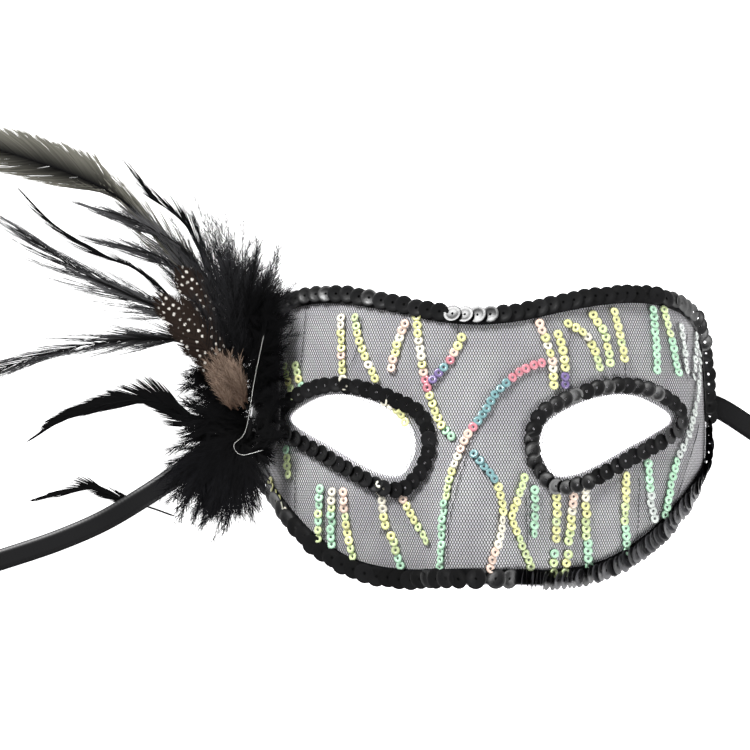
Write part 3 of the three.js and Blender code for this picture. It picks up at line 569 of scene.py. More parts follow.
def strand(name, run, keys, closed=False, bright=0.0):
    """A run of cup sequins: each one leans on the next, raised so that its low rim clears the net. Keys are
    rows of (distance from the face's middle, pitch and diameter in mm, lean and roll in degrees). Those
    within the bright distance of the middle lean towards the key light, and those that stand nearly edge on
    get a lighter grey base colour, a painted sheen."""
    keys = np.array(keys, float)
    seats = spaced(run, np.interp(np.abs(run[:, 0]), keys[:, 0] * MM, keys[:, 1]) * MM, closed)
    wide, lean, over = (np.interp(np.abs(seats[:, 0]), keys[:, 0] * MM, keys[:, i]) for i in (2, 3, 4))
    wide = wide * MM
    lean = lean + rng.normal(0, LEAN_SPREAD, len(seats))
    over = over + rng.normal(0, ROLL_SPREAD, len(seats))
    place, along, out = frames(seats, 0.0)
    rim = wide / 2 * np.sin(np.radians(np.abs(lean)))
    place = place + out * (EDGING_LIFT + RIM_SHARE * rim)[:, None]
    place = place + rng.normal(0, SEAT_SPREAD, place.shape)
    lit = (np.abs(seats[:, 0]) < bright) & (seats[:, 1] > 0)
    out = np.where(lit[:, None], unit(GLINT), out)
    along = unit(along - out * (along * out).sum(axis=1, keepdims=True))
    lean = np.where(lit, 0.0, lean)
    shade = np.clip(1 + rng.normal(0, 0.3, len(seats)), *SHADES)
    # Painted sheen: cups that stand nearly edge on get a lighter grey base colour.
    shade = np.where(lean < EDGE_ON, rng.uniform(*PAINTED_SHEEN, len(seats)), shade)
    tint = shade[:, None, None, None] * np.ones(3)
    return surface(name, [discs(place, along, out, CUP_PROFILE, CUP_SEGMENTS, wide, lean, over, tint)])


QUARTER_POINTS = 300
TAIL_POINTS = 20
TEMPLE_ENDS = {True: 8 * MM, False: 4 * MM}


def quarter(side, above):
    """The edging's middle line from the middle of the face to the temple, set in from the outline."""
    across = np.linspace(0, SHELL_EDGE, QUARTER_POINTS)
    edge = np.column_stack([across, brow_at(across) if above else lip_at(across)])
    inward = left_of(course(edge)) * (-1 if above else 1)
    run = edge + inward * EDGING_INSET
    run = run[run[:, 0] < SHELL_EDGE - EDGING_INSET]
    tail = np.linspace(run[-1, 1], TEMPLE_ENDS[above], TAIL_POINTS)[1:]
    run = np.vstack([run, np.column_stack([np.full(len(tail), SHELL_EDGE - EDGING_INSET), tail])])
    return run * [side, 1]


# Pressed PET film, black: thin, glossy, slightly uneven, so that each cup catches its own glint.
film, tree, skin = shader("pressed_black_film")
# The tint scales the black base colour: a random tone on each cup, and a painted sheen on those that stand
# nearly edge on.
tinted = node(tree, "ShaderNodeAttribute", {"attribute_name": "tint"})
black = node(tree, "ShaderNodeMix", {"data_type": "RGBA", "blend_type": "MULTIPLY"})
black.inputs[0].default_value = 1.0
black.inputs[6].default_value = colour4("101011")
tree.links.new(tinted.outputs["Color"], black.inputs[7])
tree.links.new(black.outputs[2], skin.inputs["Base Color"])
skin.inputs["Roughness"].default_value = 0.3
skin.inputs["IOR"].default_value = 1.5
place = node(tree, "ShaderNodeTexCoord")
dents = node(tree, "ShaderNodeTexNoise", Vector=place.outputs["Object"], Scale=1 / (2.5 * MM))
relieved(tree, skin, dents, 0.25, 0.3 * MM)

EDGINGS = {
    "brow_left": (-1, True, 12 * MM, [(0, 4.3, 6.2, 10, 0), (82, 4.3, 6, 10, 0), (94, 4.3, 6, 12, 40)]),
    "brow_right": (1, True, 8 * MM, [(0, 4.2, 6.2, 12, 0), (80, 3.6, 6.2, 10, 0), (94, 3.6, 6, 12, -50)]),
    "lip_left": (-1, False, 0.0, [
        (0, 5.6, 6.8, 8, 0), (8, 4.3, 7.2, 9, 0), (82, 4.3, 7.2, 10, 0), (94, 4.2, 6, 12, -45),
    ]),
    "lip_right": (1, False, 0.0, [
        (0, 5.6, 7, 6, 0), (11, 5.6, 7, 6, 0), (13, 2, 6.6, -52, 0), (40, 2, 6.6, -44, 0),
        (64, 2, 6.6, -28, 0), (84, 2.3, 6.4, -12, 0), (94, 3, 6, -6, -30),
    ]),
}
for name, (side, above, bright, keys) in EDGINGS.items():
    edging = strand(f"edging_{name}", quarter(side, above), keys, bright=bright)
    finish(edging, film, "sequin_black", f"trim_{name}")

# A black satin strip lies along the outline under the sequins and shows inside them as a dark band.
DARK_BAND_LIFT = 1.62 * MM
DARK_BAND_REACH = 5.6 * MM
DARK_BAND_OUTSIDE = 2.2 * MM
FACE_MIDDLE = np.array([0.0, 3 * MM])
binding = []
for side, above in ((-1, True), (1, True), (-1, False), (1, False)):
    run = quarter(side, above)
    inward = left_of(course(run))
    inward = inward * np.sign(((FACE_MIDDLE - run) * inward).sum(axis=1, keepdims=True))
    bands = np.linspace(-DARK_BAND_OUTSIDE, DARK_BAND_REACH - EDGING_INSET, 4)[:, None, None]
    rows = run + inward * bands
    binding.append({"points": formed(rows[..., 0], rows[..., 1], DARK_BAND_LIFT)[None]})
finish(surface("edge_binding", binding), satin, "ribbon")

# The loop round each eye; the left one stands wider of the opening on its inner side.
EYE_EDGING_OFFSET = 3.4 * MM
EYE_HALF_WIDTH = 22 * MM
EYE_EXTRA = {"left": 2.2 * MM, "right": 0.0}
EYE_KEYS = [(0, 3.9, 5.8, 9, 0)]
for name, side in (("left", -1), ("right", 1)):
    turned = left_of(course(np.vstack([eye_run[-2:], eye_run, eye_run[:2]]))[2:-2])
    outward = turned * np.sign(((eye_run - EYE_MIDDLE) * turned).sum(axis=1).mean())
    inner = np.clip(-(eye_run[:, 0] - EYE_MIDDLE[0]) / EYE_HALF_WIDTH, 0, 1)
    wider = EYE_EXTRA[name] * inner**2
    run = (eye_run + outward * (EYE_EDGING_OFFSET + wider)[:, None]) * [side, 1]
    run = np.vstack([run, run[:1]])
    edging = strand(f"edging_eye_{name}", run, EYE_KEYS, closed=True)
    finish(edging, film, "sequin_black", f"trim_{name}_eye")

# ---- Rows of ring sequins
# Iridescent ring sequins, 3 mm across with a 1 mm hole, sewn on the net in wandering rows.
RING_DIAMETER = 3.3 * MM
RING_PITCH = 2.75 * MM
RING_LIFT = 2.15 * MM
RING_PROFILE = [(0.14, -0.03), (0.18, 0.04), (0.42, 0.05), (0.5, -0.03), (0.14, -0.03)]
RING_TONES = np.array([1.5, 1.0, 0.9, 1.45, 1.5])[:, None, None]
RING_SEGMENTS = 12
ROW_STEP = 0.5 * MM
RING_LEAN = 9
RING_LEAN_SPREAD = 6
RING_ROLL_SPREAD = 8
RING_TONE_SPREAD = 0.08
SEWN_SPREAD = 0.12 * MM
SEQUIN_COLOURS = {
    "y": "eeeeaa", "l": "dcecb0", "m": "bce8c8", "c": "f6f1de", "p": "f4d9c8",
    "r": "dd8c98", "t": "7ba6aa", "v": "7d6ca0", "w": "d6ddd8", "o": "ea6a4a",
}
ROWS = {
    "brow_left_1": ("cyypyc", [(-47.7, 42), (-47, 32), (-46, 18.5)]),
    "brow_left_2": ("lyyycy", [(-42.9, 42), (-40.5, 33), (-35, 21)]),
    "brow_left_3": ("pcyyp", [(-25, 40), (-27, 34), (-29.2, 25)]),
    "bridge_left": ("yyccypryyyym", [(-21.3, 42), (-17.8, 22), (-15.5, 13.7), (-12.1, 5.8), (-8.4, 1.6)]),
    "bridge_short": ("yyprtv", [(-5.2, 35), (-9.9, 26.5), (-15, 21)]),
    "temple_left_1": ("llyl", [(-67, 25), (-64, 15)]),
    "lip_left_1": ("mmlml", [(-54.5, -17), (-56.3, -34)]),
    "lip_left_2": ("clmmm", [(-50.4, -18), (-51.5, -36)]),
    "lip_left_3": ("pplyyl", [(-46.3, -18), (-46, -28.5), (-44.2, -40)]),
    "lip_left_4": ("cccy", [(-33.3, -15), (-31.9, -29)]),
    "lip_left_6": ("pyyyll", [(-25.4, -20), (-17.2, -34.3)]),
    "nose_long": ("rrrtttttrppcyllmmmmmm", [
        (21.6, 26.4), (15.4, 24), (7.2, 17.2), (2, 9.3), (-4.2, -0.7), (-9.3, -14.7), (-11, -27.4),
        (-12, -43),
    ]),
    "nose_teal": ("ttttyyycccpp", [
        (-0.7, -4.1), (3.8, -10.3), (6.8, -15), (8.6, -23), (7.6, -32), (4.5, -43),
    ]),
    "nose_fork": ("llyyyylll", [(15.8, -12.5), (13.4, -20), (11.4, -25), (13.2, -31), (18.2, -43)]),
    "lip_right_1": ("mmmmm", [(19.2, -16.5), (19.2, -31.6)]),
    "lip_right_2": ("yyly", [(26.8, -19), (26.8, -33.3)]),
    "lip_right_3": ("pcyyl", [(32.4, -19), (31.2, -34)]),
    "lip_right_4": ("cyllmm", [(36.4, -17), (37, -29.8), (38.8, -43)]),
    "lip_right_5": ("yyllmm", [(50.1, -12), (50.1, -26.4), (51.5, -38)]),
    "lip_right_6": ("mmww", [(57.6, -8), (58.3, -19.6), (60, -27)]),
    "brow_right_1": ("pycypcy", [(21, 40), (24.6, 30), (25.6, 19)]),
    "brow_right_3": ("yycyyl", [(30.9, 40), (36.4, 36.7), (39.6, 30.9), (41.2, 25)]),
    "brow_right_4": ("yyllyl", [(39.5, 43), (43, 36.5), (44.6, 26.5)]),
    "brow_right_5": ("yyyly", [(46.7, 44), (48.4, 35.3), (49.4, 28)]),
    "brow_right_6": ("mmmmm", [(60.4, 45), (60.4, 24)]),
    "brow_right_7": ("llmmm", [(64, 45), (66.2, 31.9), (67.4, 23)]),
    "temple_right": ("wwwwmm", [(75, 30), (73.2, 14), (70.6, 2), (66.4, -9), (63.8, -26)]),
}
# Short rows that lie close to others or under the feathers, and stand for no solid of their own.
EXTRA_ROWS = {
    "temple_left_2": ("llym", [(-63.2, 25.6), (-60.2, 16)]),
    "temple_left_3": ("mmlm", [(-71.7, 21.6), (-70.3, 9)]),
    "lip_left_5": ("yllm", [(-29.8, -32.3), (-27.1, -43)]),
    "lip_left_7": ("yyyc", [(-72.7, -14.7), (-67.6, -25)]),
    "lip_left_8": ("mll", [(-66.5, -3.5), (-65.6, -12)]),
    "brow_right_2": ("yyyyyv", [(27.4, 36), (29.2, 28), (29.6, 19)]),
    "brow_right_8": ("wwww", [(69.6, 38.8), (70.2, 24)]),
    "brow_right_9": ("wwww", [(74.6, 36), (72.4, 22)]),
    "lip_right_7": ("mll", [(26.4, -38.5), (26.6, -45)]),
    "lip_right_8": ("lyl", [(31, -38.8), (30.9, -45)]),
    "eye_left": ("cyy", [(-32, 13.2), (-27, 10.2), (-24.6, 6.4)]),
}

# Iridescent PET film: pale body, stronger colour at the rims, a thin clear gloss over it.
pearl, tree, skin = shader("iridescent_film")
tinted = node(tree, "ShaderNodeAttribute", {"attribute_name": "tint"})
coloured(tree, skin, tinted)
skin.inputs["Roughness"].default_value = 0.3
skin.inputs["Coat Weight"].default_value = 0.6
skin.inputs["Coat Roughness"].default_value = 0.12


def ring_row(name, colours, points):
    """Flat rings laid end over end along a row; colour turns from one key letter to the next."""
    seats = spaced(smooth(from_front(points), ROW_STEP), RING_PITCH)
    place, along, out = frames(seats, RING_LIFT)
    count = len(seats)
    keys = np.array([linear(SEQUIN_COLOURS[c]) for c in colours])
    body = keys[np.minimum((np.linspace(0, 1, count) * len(keys)).astype(int), len(keys) - 1)]
    body = np.clip(body * (1 + rng.normal(0, RING_TONE_SPREAD, (count, 1))), 0, 1)
    tint = body[:, None, None] ** RING_TONES
    place = place + rng.normal(0, SEWN_SPREAD, place.shape)
    lean = rng.normal(RING_LEAN, RING_LEAN_SPREAD, count)
    roll = rng.normal(0, RING_ROLL_SPREAD, count)
    rings = discs(place, along, out, RING_PROFILE, RING_SEGMENTS, RING_DIAMETER, lean, roll, tint)
    return surface(name, [rings])


for name, (colours, points) in ROWS.items():
    finish(ring_row(f"rings_{name}", colours, points), pearl, "sequin_iridescent", f"row_{name}")
for name, (colours, points) in EXTRA_ROWS.items():
    finish(ring_row(f"ring_row_{name}", colours, points), pearl, "sequin_iridescent")

# ---- Sewing threads
# Black sewing thread runs beside the rows and past their ends, and hangs in short loose lines.
THREAD_RADIUS = 0.13 * MM
THREAD_LIFT = 1.85 * MM
THREAD_STEP = 1.5 * MM
THREADS = [
    [(-61, 45), (-60.8, 34), (-61.5, 22)], [(0.5, 4.5), (-2.7, -3.8), (-6, -16), (-8.8, -30), (-9.2, -43)],
    [(3.4, -10), (7.5, -20), (7, -28)], [(19, 25), (10.5, 20), (4, 12), (-0.5, 5)], [(-6.2, 41), (-7.2, 33)],
    [(49.7, 27), (49.9, 19)], [(-63, -9), (-64.5, -30)], [(-34.3, -33), (-32, -26)], [(-53, -20), (-54, -36)],
    [(29.4, 20), (30.4, 30), (32.5, 40)], [(54.5, -12), (54.8, -38)], [(16.2, -18), (17, -44)],
    [(67, 40), (68.5, 28), (70.5, 20)], [(71.5, 38), (70, 26)], [(-18.5, 20), (-14, 9), (-9.5, 3)],
    [(-44.5, 24), (-41.5, 31), (-40, 42)], [(74, 6), (70, -10), (66, -24)], [(72, 10), (68, -6), (61, -26)],
]


TUBE_TIP = 1e-7


def tube(line, radius, sides=6):
    """Circles of the given radius square to a line; both ends shrink to a point."""
    way = course(line)
    aside = unit(np.cross(way, np.where(np.abs(way[:, 2:]) > 0.9, [1.0, 0, 0], [0, 0, 1.0])))
    over = np.cross(way, aside)
    turn = np.linspace(0, 2 * np.pi, sides, endpoint=False)[None, :, None]
    wide = np.broadcast_to(radius, len(line)).copy()
    wide[[0, -1]] = TUBE_TIP
    ring = np.cos(turn) * over[:, None] + np.sin(turn) * aside[:, None]
    return {"points": (line[:, None] + wide[:, None, None] * ring)[None], "wrap": (False, True)}


thread_lines = []
for points in THREADS:
    run = smooth(from_front(points), THREAD_STEP)
    run = run + rng.normal(0, SEWN_SPREAD, run.shape)
    thread_lines.append(tube(formed(run[:, 0], run[:, 1], THREAD_LIFT), THREAD_RADIUS))
finish(surface("sewing_threads", thread_lines), tulle, "net")

# ---- Feather spray
# Coque, hackle and guinea feathers, glued by their quills at the left temple. Each is a rachis
# with long thin barbs on either side, which lie over one another like a loose cloth.
SPRAY_ROOT = np.array([-81.0, 14.0]) * MM
SPRAY_BASE = 12 * MM
SPRAY_RISE = 10 * MM
SPRAY_REACH = 100 * MM
FEATHER_LAYER = 1.5 * MM
RUN_STEP = 0.5 * MM
CLUMP_WIDTH = 2.6 * MM
BARB_STATIONS = 7
BARB_SPREAD = 0.15 * MM
BARB_TAPER = 0.9
BARB_SWEEP = 0.12
BARB_DROOP = 0.10
BARB_WANDER = 0.02
TONE_RANGE = (0.6, 1.1)
STEM_STEP = 6
STEM_LIFT = 0.15 * MM


def spray_height(points):
    """Height of the spray's lowest layer: a quarter of a sine wave up from the root."""
    away = np.linalg.norm(points - SPRAY_ROOT, axis=-1) / SPRAY_REACH
    return SPRAY_BASE + SPRAY_RISE * np.sin(np.minimum(1.4, away) * np.pi / 2)


def hairs(start, way, length, bend, width, lift, stations, flat=None):
    """Thin tapering strips, start + length * (q * way + q^2 * bend) in plan, with q from 0 to 1.
    Width falls to a tenth at the tip. Height is the spray's, or a flat one, plus lift."""
    q = np.linspace(0, 1, stations)[None, :, None]
    plan = start[:, None] + length[:, None, None] * (q * way[:, None] + q**2 * bend[:, None])
    aside = left_of(unit(np.gradient(plan, axis=1)))
    half = np.broadcast_to(width, len(start))[:, None, None] / 2 * (1 - BARB_TAPER * q**1.5)
    edges = np.stack([plan + aside * half, plan - aside * half], axis=2)
    height = np.broadcast_to(lift, len(start))[:, None, None]
    height = height + (spray_height(edges) if flat is None else flat)
    height = np.broadcast_to(height, edges.shape[:3])[..., None]
    return np.concatenate([edges + HOME[:2], height], axis=-1), q


def blend(first, last, share):
    """A colour between two sRGB hex colours, as linear values."""
    return linear(first) + (linear(last) - linear(first)) * share


def feather(name, slot, material, rachis, layer, barbs, colours, quill=0.4, flat=None, clump=0.07):
    """Barbs come in sets of (side, gap and width of a barb in mm, keys), where a key is (share
    along the rachis, length in mm, angle from the rachis in degrees). They sweep towards the tip
    and split into clumps a few millimetres wide."""
    run = smooth(np.array(rachis) * MM, RUN_STEP)
    share = np.linspace(0, 1, len(run))
    way = course(run)
    total = len(run) * RUN_STEP
    patches = []
    for side, gap, thick, keys in barbs:
        keys = np.array(keys)
        count = int(total * (keys[-1, 0] - keys[0, 0]) / (gap * MM))
        at = np.sort(rng.uniform(keys[0, 0], keys[-1, 0], count))
        start = np.column_stack([np.interp(at, share, run[:, i]) for i in (0, 1)])
        ahead = unit(np.column_stack([np.interp(at, share, way[:, i]) for i in (0, 1)]))
        aside = side * left_of(ahead)
        group = (at * total / CLUMP_WIDTH).astype(int)
        split = rng.normal(0, clump, group.max() + 1)[group] + rng.normal(0, clump / 2, count)
        angle = np.radians(np.interp(at, keys[:, 0], keys[:, 2])) * (1 + split * 2)
        length = np.interp(at, keys[:, 0], keys[:, 1]) * MM * (1 + rng.normal(0, clump, count))
        turn = ahead * np.cos(angle)[:, None] + aside * np.sin(angle)[:, None]
        sweep = BARB_SWEEP * ahead - BARB_DROOP * aside + rng.normal(0, BARB_WANDER, (count, 2))
        height = layer * FEATHER_LAYER + rng.normal(0, BARB_SPREAD, count)
        reach = np.maximum(length, MM)
        points, q = hairs(start, turn, reach, sweep, thick * MM, height, BARB_STATIONS, flat)
        tone = blend(*colours, np.clip(q**1.3 * rng.uniform(*TONE_RANGE, (count, 1, 1)), 0, 1))
        out = q[..., 0] * length[:, None]
        beyond, beside = out * np.cos(angle)[:, None], out * np.sin(angle)[:, None]
        plan = np.stack([(at * total)[:, None] + beyond, side * beside], axis=-1)
        patches.append({"points": points, "tint": tone[:, :, None], "uv": plan[:, :, None]})
    core = run[::STEM_STEP]
    height = spray_height(core) if flat is None else np.full(len(core), flat)
    line = np.column_stack([core + HOME[:2], height + layer * FEATHER_LAYER + STEM_LIFT])
    stem = tube(line, quill * MM * (1 - 0.85 * np.linspace(0, 1, len(line))))
    patches.append(stem | {"tint": linear(colours[0])})
    finish(surface(name, patches), material, slot, name)


# Keratin barbs: a dull body with a faint silky sheen; the colour runs from rachis to tip.
barb, tree, skin = shader("feather_barbs")
tinted = node(tree, "ShaderNodeAttribute", {"attribute_name": "tint"})
coloured(tree, skin, tinted)
skin.inputs["Roughness"].default_value = 0.6
skin.inputs["Specular IOR Level"].default_value = 0.1

# Guinea-fowl barbs: dark brown with pale round spots in rows about 2.5 mm apart.
SPOT_PITCH = 2.5 * MM
spotted, tree, skin = shader("guinea_feather_barbs")
plan_uv = node(tree, "ShaderNodeUVMap", {"uv_map": "uv"})
cells = node(tree, "ShaderNodeTexVoronoi", Vector=plan_uv.outputs["UV"], Scale=1 / SPOT_PITCH, Randomness=0.3)
spot = node(tree, "ShaderNodeValToRGB", Fac=cells.outputs["Distance"])
spot.color_ramp.elements[0].color = colour4("e6e2da")
spot.color_ramp.elements[1].color = colour4("2a211c")
spot.color_ramp.elements[0].position, spot.color_ramp.elements[1].position = 0.17, 0.25
coloured(tree, skin, spot)
skin.inputs["Roughness"].default_value = 0.6
skin.inputs["Specular IOR Level"].default_value = 0.1

BLACK, COAL, GREY, OLIVE = "030304", "0b0b0c", "707072", "8d8b80"
UP, DOWN = -1, 1
feather("feather_curl_low", "feather_black", barb,
        [(-83, 6), (-98.4, 5.1), (-112.2, 12.7), (-125.9, 13), (-143, 8.6), (-155, 1.4)], 0,
        [(UP, 0.14, 0.45, [(0.12, 12, 34), (0.35, 13, 22), (0.7, 11, 13), (0.97, 6, 6)]),
         (DOWN, 0.14, 0.45, [(0.1, 10, 34), (0.35, 12, 24), (0.7, 12, 14), (0.97, 6, 6)])],
        (BLACK, COAL), clump=0.05)
feather("feather_grey_low", "feather_grey", barb,
        [(-83, 12), (-98.4, 32.6), (-112.2, 35), (-129.3, 34), (-146.5, 30.9), (-171, 23.5)], 1,
        [(UP, 0.3, 0.35, [(0.1, 9, 40), (0.3, 12, 22), (0.55, 12, 12)]),
         (DOWN, 0.3, 0.35, [(0.1, 9, 40), (0.3, 14, 22), (0.55, 12, 12)]),
         (UP, 0.5, 0.16, [(0.3, 22, 24), (0.5, 26, 13), (0.8, 28, 10), (0.97, 20, 8)]),
         (DOWN, 0.35, 0.16, [(0.3, 22, 24), (0.5, 26, 15), (0.8, 28, 12), (0.97, 20, 9)])],
        (COAL, GREY), quill=0.5)
feather("feather_coque_broad", "feather_black", barb,
        [(-83, 22), (-98.4, 51.5), (-112.2, 70.3), (-125.9, 84), (-143, 92.6), (-163.6, 99.5), (-176, 103)],
        2,
        [(UP, 0.22, 0.4, [(0.1, 12, 30), (0.3, 16, 12), (0.55, 16, 8)]),
         (DOWN, 0.22, 0.4, [(0.1, 12, 24), (0.3, 14, 14), (0.55, 14, 10)]),
         (UP, 0.75, 0.4, [(0.12, 30, 14), (0.4, 26, 12), (0.5, 22, 10)]),
         (DOWN, 0.8, 0.3, [(0.15, 26, 30), (0.4, 22, 22), (0.5, 16, 12)]),
         (UP, 0.1, 0.5, [(0.54, 10, 18), (0.6, 16, 36), (0.8, 18, 32), (0.98, 18, 18)]),
         (DOWN, 0.15, 0.3, [(0.54, 10, 14), (0.62, 19, 30), (0.8, 23, 29), (0.98, 16, 16)])],
        (BLACK, OLIVE), quill=0.8, clump=0.012)
feather("feather_fan_upper", "feather_grey", barb,
        [(-83, 25), (-98, 60), (-114, 73), (-132.7, 80.6)], 3,
        [(UP, 0.8, 0.22, [(0.4, 8, 10), (0.9, 12, 6)]),
         (DOWN, 0.34, 0.3, [(0.35, 27, 24), (0.6, 25, 18), (0.95, 14, 8)])], (BLACK, GREY), clump=0.1)
feather("feather_fan_lower", "feather_grey", barb,
        [(-83, 21), (-97, 52), (-110, 62.5), (-126.2, 68.3)], 4,
        [(UP, 0.7, 0.25, [(0.4, 8, 12), (0.9, 12, 6)]),
         (DOWN, 0.34, 0.3, [(0.3, 26, 28), (0.6, 26, 18), (0.95, 16, 8)])], (BLACK, GREY), clump=0.1)
feather("feather_quill_upper", "feather_black", barb,
        [(-82, 27), (-98.4, 68.6), (-112, 83), (-119.4, 91.6)], 5,
        [(UP, 0.5, 0.3, [(0.3, 16, 18), (0.95, 14, 6)]), (DOWN, 0.5, 0.3, [(0.3, 12, 12), (0.95, 10, 6)])],
        (BLACK, COAL))
feather("feather_hackle_long", "feather_black", barb,
        [(-82, 19), (-112.2, 53.9), (-129.3, 63.5), (-146.5, 73.7), (-159.8, 86.8)], 7,
        [(UP, 0.5, 0.25, [(0.3, 8, 7), (0.95, 6, 4)]),
         (DOWN, 0.45, 0.2, [(0.3, 14, 12), (0.6, 16, 9), (0.95, 8, 5)])], (BLACK, COAL), quill=0.5)
feather("feather_hackle_grey", "feather_black", barb,
        [(-82, 15), (-95, 37.7), (-108.7, 44.6), (-125.9, 52.1), (-139.6, 59), (-161.9, 74.1)], 8,
        [(UP, 0.2, 0.4, [(0.1, 12, 22), (0.35, 14, 13), (0.66, 12, 7)]),
         (DOWN, 0.2, 0.4, [(0.1, 14, 26), (0.35, 15, 16), (0.66, 12, 9)]),
         (UP, 0.5, 0.15, [(0.3, 26, 18), (0.55, 32, 14), (0.8, 24, 8), (0.97, 10, 5)]),
         (DOWN, 0.42, 0.15, [(0.2, 26, 30), (0.5, 34, 18), (0.8, 26, 11), (0.97, 12, 6)])],
        (BLACK, GREY), quill=0.6)
VANE = [(0.25, 8, 58), (0.5, 11, 46), (0.75, 11, 34), (0.99, 5, 14)]
for name, rachis, layer in (
    ("feather_guinea_long", [(-81, 17), (-89, 34), (-95, 46), (-102, 56)], 9),
    ("feather_guinea_short", [(-81, 12), (-92, 27), (-101, 39), (-109, 47)], 10),
):
    feather(name, "feather_spotted", spotted, rachis, layer, [(UP, 0.12, 0.5, VANE), (DOWN, 0.12, 0.5, VANE)],
            (COAL, COAL), clump=0.03)
feather("feather_under_ribbon", "feather_black", barb,
        [(-108, -28), (-118, -24.5), (-131, -20.6), (-137.9, -17.8), (-146.5, -18.9), (-157.8, -21.6)], 0,
        [(UP, 0.25, 0.4, [(0.3, 6, 26), (0.5, 9, 20), (0.75, 8, 12), (0.95, 6, 6)]),
         (DOWN, 0.25, 0.4, [(0.3, 6, 22), (0.5, 8, 16), (0.75, 8, 12), (0.95, 6, 6)])],
        (BLACK, COAL), flat=0.65 * MM, clump=0.05)

# ---- Marabou and tan down
# Loose tufts of marabou fluff: each plume is a soft stem whose fine barbs stand out to both sides.
STEM_LENGTHS = (0.45, 1.0)
STEM_BEND = 0.12
STEM_STATIONS = 10
STEM_WIDTHS = 2.4
FLUFF_STATIONS = 5
FLUFF_SPLAY = 0.32
FLUFF_WANDER = 0.12
FLUFF_CURL = 0.1
FLUFF_LENGTHS = (0.5, 1.3)
FLUFF_SHORTENING = 0.45
FLUFF_DEPTH = 0.5


def tuft(name, slot, root, spread, stems, turns, reaches, knots, fuzz, colours, layer, replaced, depth, seed,
         fine=0.16):
    """Stems leave an oval at even angles between the two turns, with their reach interpolated
    from the given ones; each carries barbs of the fuzz's length that grow shorter to the tip."""
    grow = np.random.default_rng(seed)
    angle = np.radians(grow.uniform(turns[0], turns[-1], stems))
    reach = np.interp(np.degrees(angle), turns, reaches) * MM * grow.uniform(*STEM_LENGTHS, stems)
    way = np.column_stack([np.cos(angle), np.sin(angle)])
    start = (np.array(root) + np.array(spread) * grow.uniform(-1, 1, (stems, 2))) * MM
    bend = grow.normal(0, STEM_BEND, (stems, 2))
    lift = layer * FEATHER_LAYER + grow.uniform(0, depth, stems) * MM
    points, q = hairs(start, way, reach, bend, fine * STEM_WIDTHS * MM, lift, STEM_STATIONS)
    patches = [{"points": points, "tint": blend(*colours, 0.5 * q)[:, :, None]}]
    k = np.linspace(0.0, 0.97, knots)[None, :, None] + grow.uniform(0, 0.02, (stems, knots, 1))
    base = start[:, None] + reach[:, None, None] * (k * way[:, None] + k**2 * bend[:, None])
    heading = unit(way[:, None] + 2 * k * bend[:, None])
    for side in (1, -1):
        aside = side * left_of(heading)
        wander = grow.normal(0, FLUFF_WANDER, heading.shape)
        branch = unit(heading + aside * FLUFF_SPLAY + wander).reshape(-1, 2)
        size = fuzz * MM * (1 - FLUFF_SHORTENING * k[..., 0])
        size = (size * grow.uniform(*FLUFF_LENGTHS, (stems, knots))).ravel()
        height = np.repeat(lift, knots) + grow.normal(0, FLUFF_DEPTH, stems * knots) * MM
        curl = grow.normal(0, FLUFF_CURL, (stems * knots, 2))
        points, q = hairs(base.reshape(-1, 2), branch, size, curl, fine * MM, height, FLUFF_STATIONS)
        share = np.clip(0.75 * k.reshape(-1, 1, 1) * q + 0.25 * q, 0, 1)
        patches.append({"points": points, "tint": blend(*colours, share)[:, :, None]})
    finish(surface(name, patches), barb, slot, *replaced)


tuft("marabou_tuft_upper", "marabou", (-83, 33), (6, 9), 170, (40, 64, 72, 95, 110, 124),
     (20, 25, 29, 38, 46, 50), 50, 10, ("020203", "444447"), 5, ["marabou_upper"], 8, 5, 0.14)
tuft("marabou_tuft_edge", "marabou", (-77, 20), (4, 25), 170, (-60, -25, 0, 30, 60, 90),
     (4, 5, 6, 8, 14, 18), 30, 6, ("020203", "121214"), 10, ["marabou_edge"], 6, 6)
tuft("marabou_tuft_lower", "marabou", (-88, -3), (8, 6), 170, (205, 222, 245, 267, 292),
     (16, 26, 30, 27, 17), 45, 8, ("020203", "202024"), 1, ["marabou_lower"], 7, 7)
tuft("marabou_tuft_middle", "marabou", (-83, 12), (6, 14), 150, (140, 160, 180, 205, 220),
     (17, 19, 18, 18, 16), 40, 7, ("020203", "161618"), 2, [], 6, 9)
tuft("tan_down_tuft", "down_tan", (-83, 14), (3, 4), 60, (100, 112, 125, 140),
     (10, 17, 17, 9), 40, 4.5, ("4b3a30", "b39c8a"), 12, ["down_tan"], 3, 8)

# ---- Pad, patches and glue
# Black felt is glued under the quills and over each ribbon's end; a clear glue thread trails off.
FELT_THICKNESS = 1.5 * MM


def felt_oval(name, middle, half, lift, replaced):
    """A disc of the pattern, from its middle to a rounded-square rim, laid on the formed surface."""
    angle = np.linspace(0, 2 * np.pi, 64, endpoint=False)
    share = np.linspace(0.02, 1, 9)[:, None]
    wave = (np.abs(np.cos(angle)) ** 3 + np.abs(np.sin(angle)) ** 3) ** (-1 / 3)
    across = middle[0] * MM + half[0] * MM * share * wave * np.cos(angle)
    height = middle[1] * MM + half[1] * MM * share * wave * np.sin(angle)
    grid = formed(across, height, lift * MM)
    centre = np.broadcast_to(grid[:1].mean(axis=1, keepdims=True), grid[:1].shape)
    piece = surface(name, [{"points": np.concatenate([centre, grid])[None], "wrap": (False, True)}])
    weld(piece, 0.001 * MM)
    thicken(piece, FELT_THICKNESS)
    finish(piece, felt, "felt", replaced)


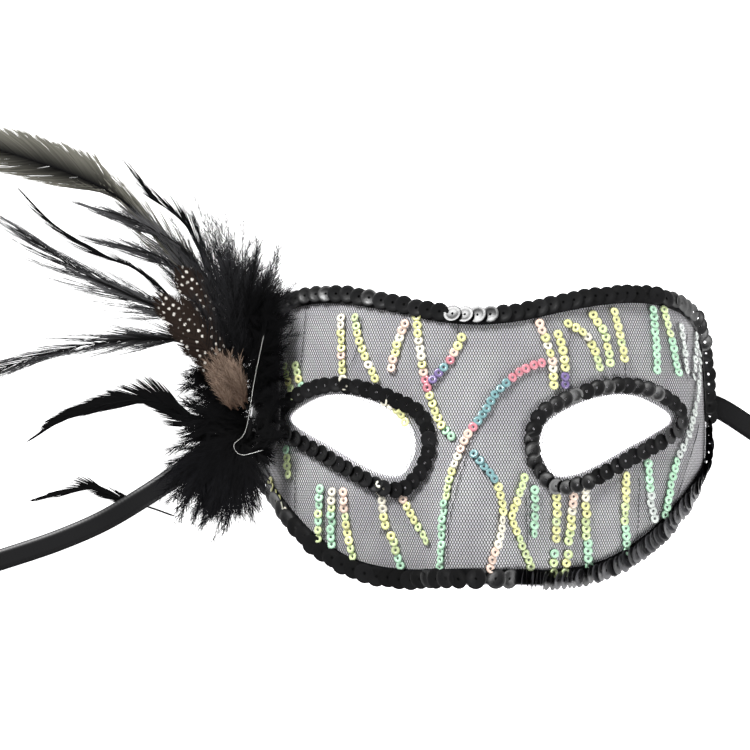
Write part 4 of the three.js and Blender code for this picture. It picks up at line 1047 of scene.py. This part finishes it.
# Pressed wool felt: matt, with a soft fibrous nap about half a millimetre deep.
felt, tree, skin = shader("pressed_felt")
place = node(tree, "ShaderNodeTexCoord")
nap = node(tree, "ShaderNodeTexNoise", Vector=place.outputs["Object"], Scale=1 / (0.6 * MM), Detail=6.0)
shade = node(tree, "ShaderNodeValToRGB", Fac=nap.outputs["Fac"])
shade.color_ramp.elements[0].color = colour4("0d0d0e")
shade.color_ramp.elements[1].color = colour4("2a292c")
coloured(tree, skin, shade)
relieved(tree, skin, nap, 0.8, 0.3 * MM)
skin.inputs["Roughness"].default_value = 0.95
skin.inputs["Sheen Weight"].default_value = 0.5

felt_oval("felt_pad", (-81, 14), (8.8, 19.5), 4.8, "feather_pad")
felt_oval("felt_patch_left", (-91, 4), (6.8, 6.8), -1.8, "left_tie_patch")
felt_oval("felt_patch_right", (91, 12), (6.8, 6.8), -1.8, "right_tie_patch")

# Set hot-melt glue: clear, pale and glossy.
glue, tree, skin = shader("clear_hot_melt")
skin.inputs["Base Color"].default_value = colour4("e8e8e4")
skin.inputs["Roughness"].default_value = 0.12
skin.inputs["Transmission Weight"].default_value = 0.7
skin.inputs["IOR"].default_value = 1.48
GLUE_RADIUS = 0.11 * MM
GLUE_POINTS = np.array([(-73.7, 36), (-77, 20), (-79.9, 3.4), (-84, -1.7), (-81.3, -5.1), (-73.7, -3.4)]) * MM
glue_line = smooth(GLUE_POINTS, 1 * MM) + HOME[:2]
glue_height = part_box("glue_thread")[0].z + 0.5 * MM
glue_line = np.column_stack([glue_line, np.full(len(glue_line), glue_height)])
finish(surface("glue_strand", [tube(glue_line, GLUE_RADIUS, 8)]), glue, "glue", "glue_thread")

# ---- Table and light
# A white lit table, a dim white room and two broad lamps. A lamp is its place, its width and its
# power in watts, and points at the middle of the table.
TABLE_HALF = 3.0
ROOM_LIGHT = 0.2
ends = [-TABLE_HALF, TABLE_HALF]
grid = np.stack(np.meshgrid(ends, ends, [0.0]), axis=-1).reshape(1, 2, 2, 3)
table = surface("table_top", [{"points": grid}])
lit, tree, skin = shader("lit_white_table")
skin.inputs["Base Color"].default_value = colour4("f8f8f8")
skin.inputs["Roughness"].default_value = 0.9
skin.inputs["Emission Color"].default_value = (1, 1, 1, 1)
skin.inputs["Emission Strength"].default_value = 1.0
table.data.materials.append(lit)

world = bpy.data.worlds.new("studio")
bpy.context.scene.world = world
world.use_nodes = True
world.node_tree.nodes["Background"].inputs["Color"].default_value = (1, 1, 1, 1)
world.node_tree.nodes["Background"].inputs["Strength"].default_value = ROOM_LIGHT

LAMPS = {"key": ((-0.6, 1.1, 0.8), 0.5, 34), "fill": ((1.1, -0.7, 0.8), 0.8, 17)}
for name, (where, width, power) in LAMPS.items():
    lamp = bpy.data.lights.new(name, "AREA")
    lamp.size = width
    lamp.energy = power
    holder = bpy.data.objects.new(name, lamp)
    holder.location = where
    away = np.array(where) / np.linalg.norm(where)
    holder.rotation_euler = (np.arccos(away[2]), 0, np.arctan2(away[0], -away[1]))
    bpy.context.scene.collection.objects.link(holder)

bpy.context.scene.view_settings.view_transform = "Standard"
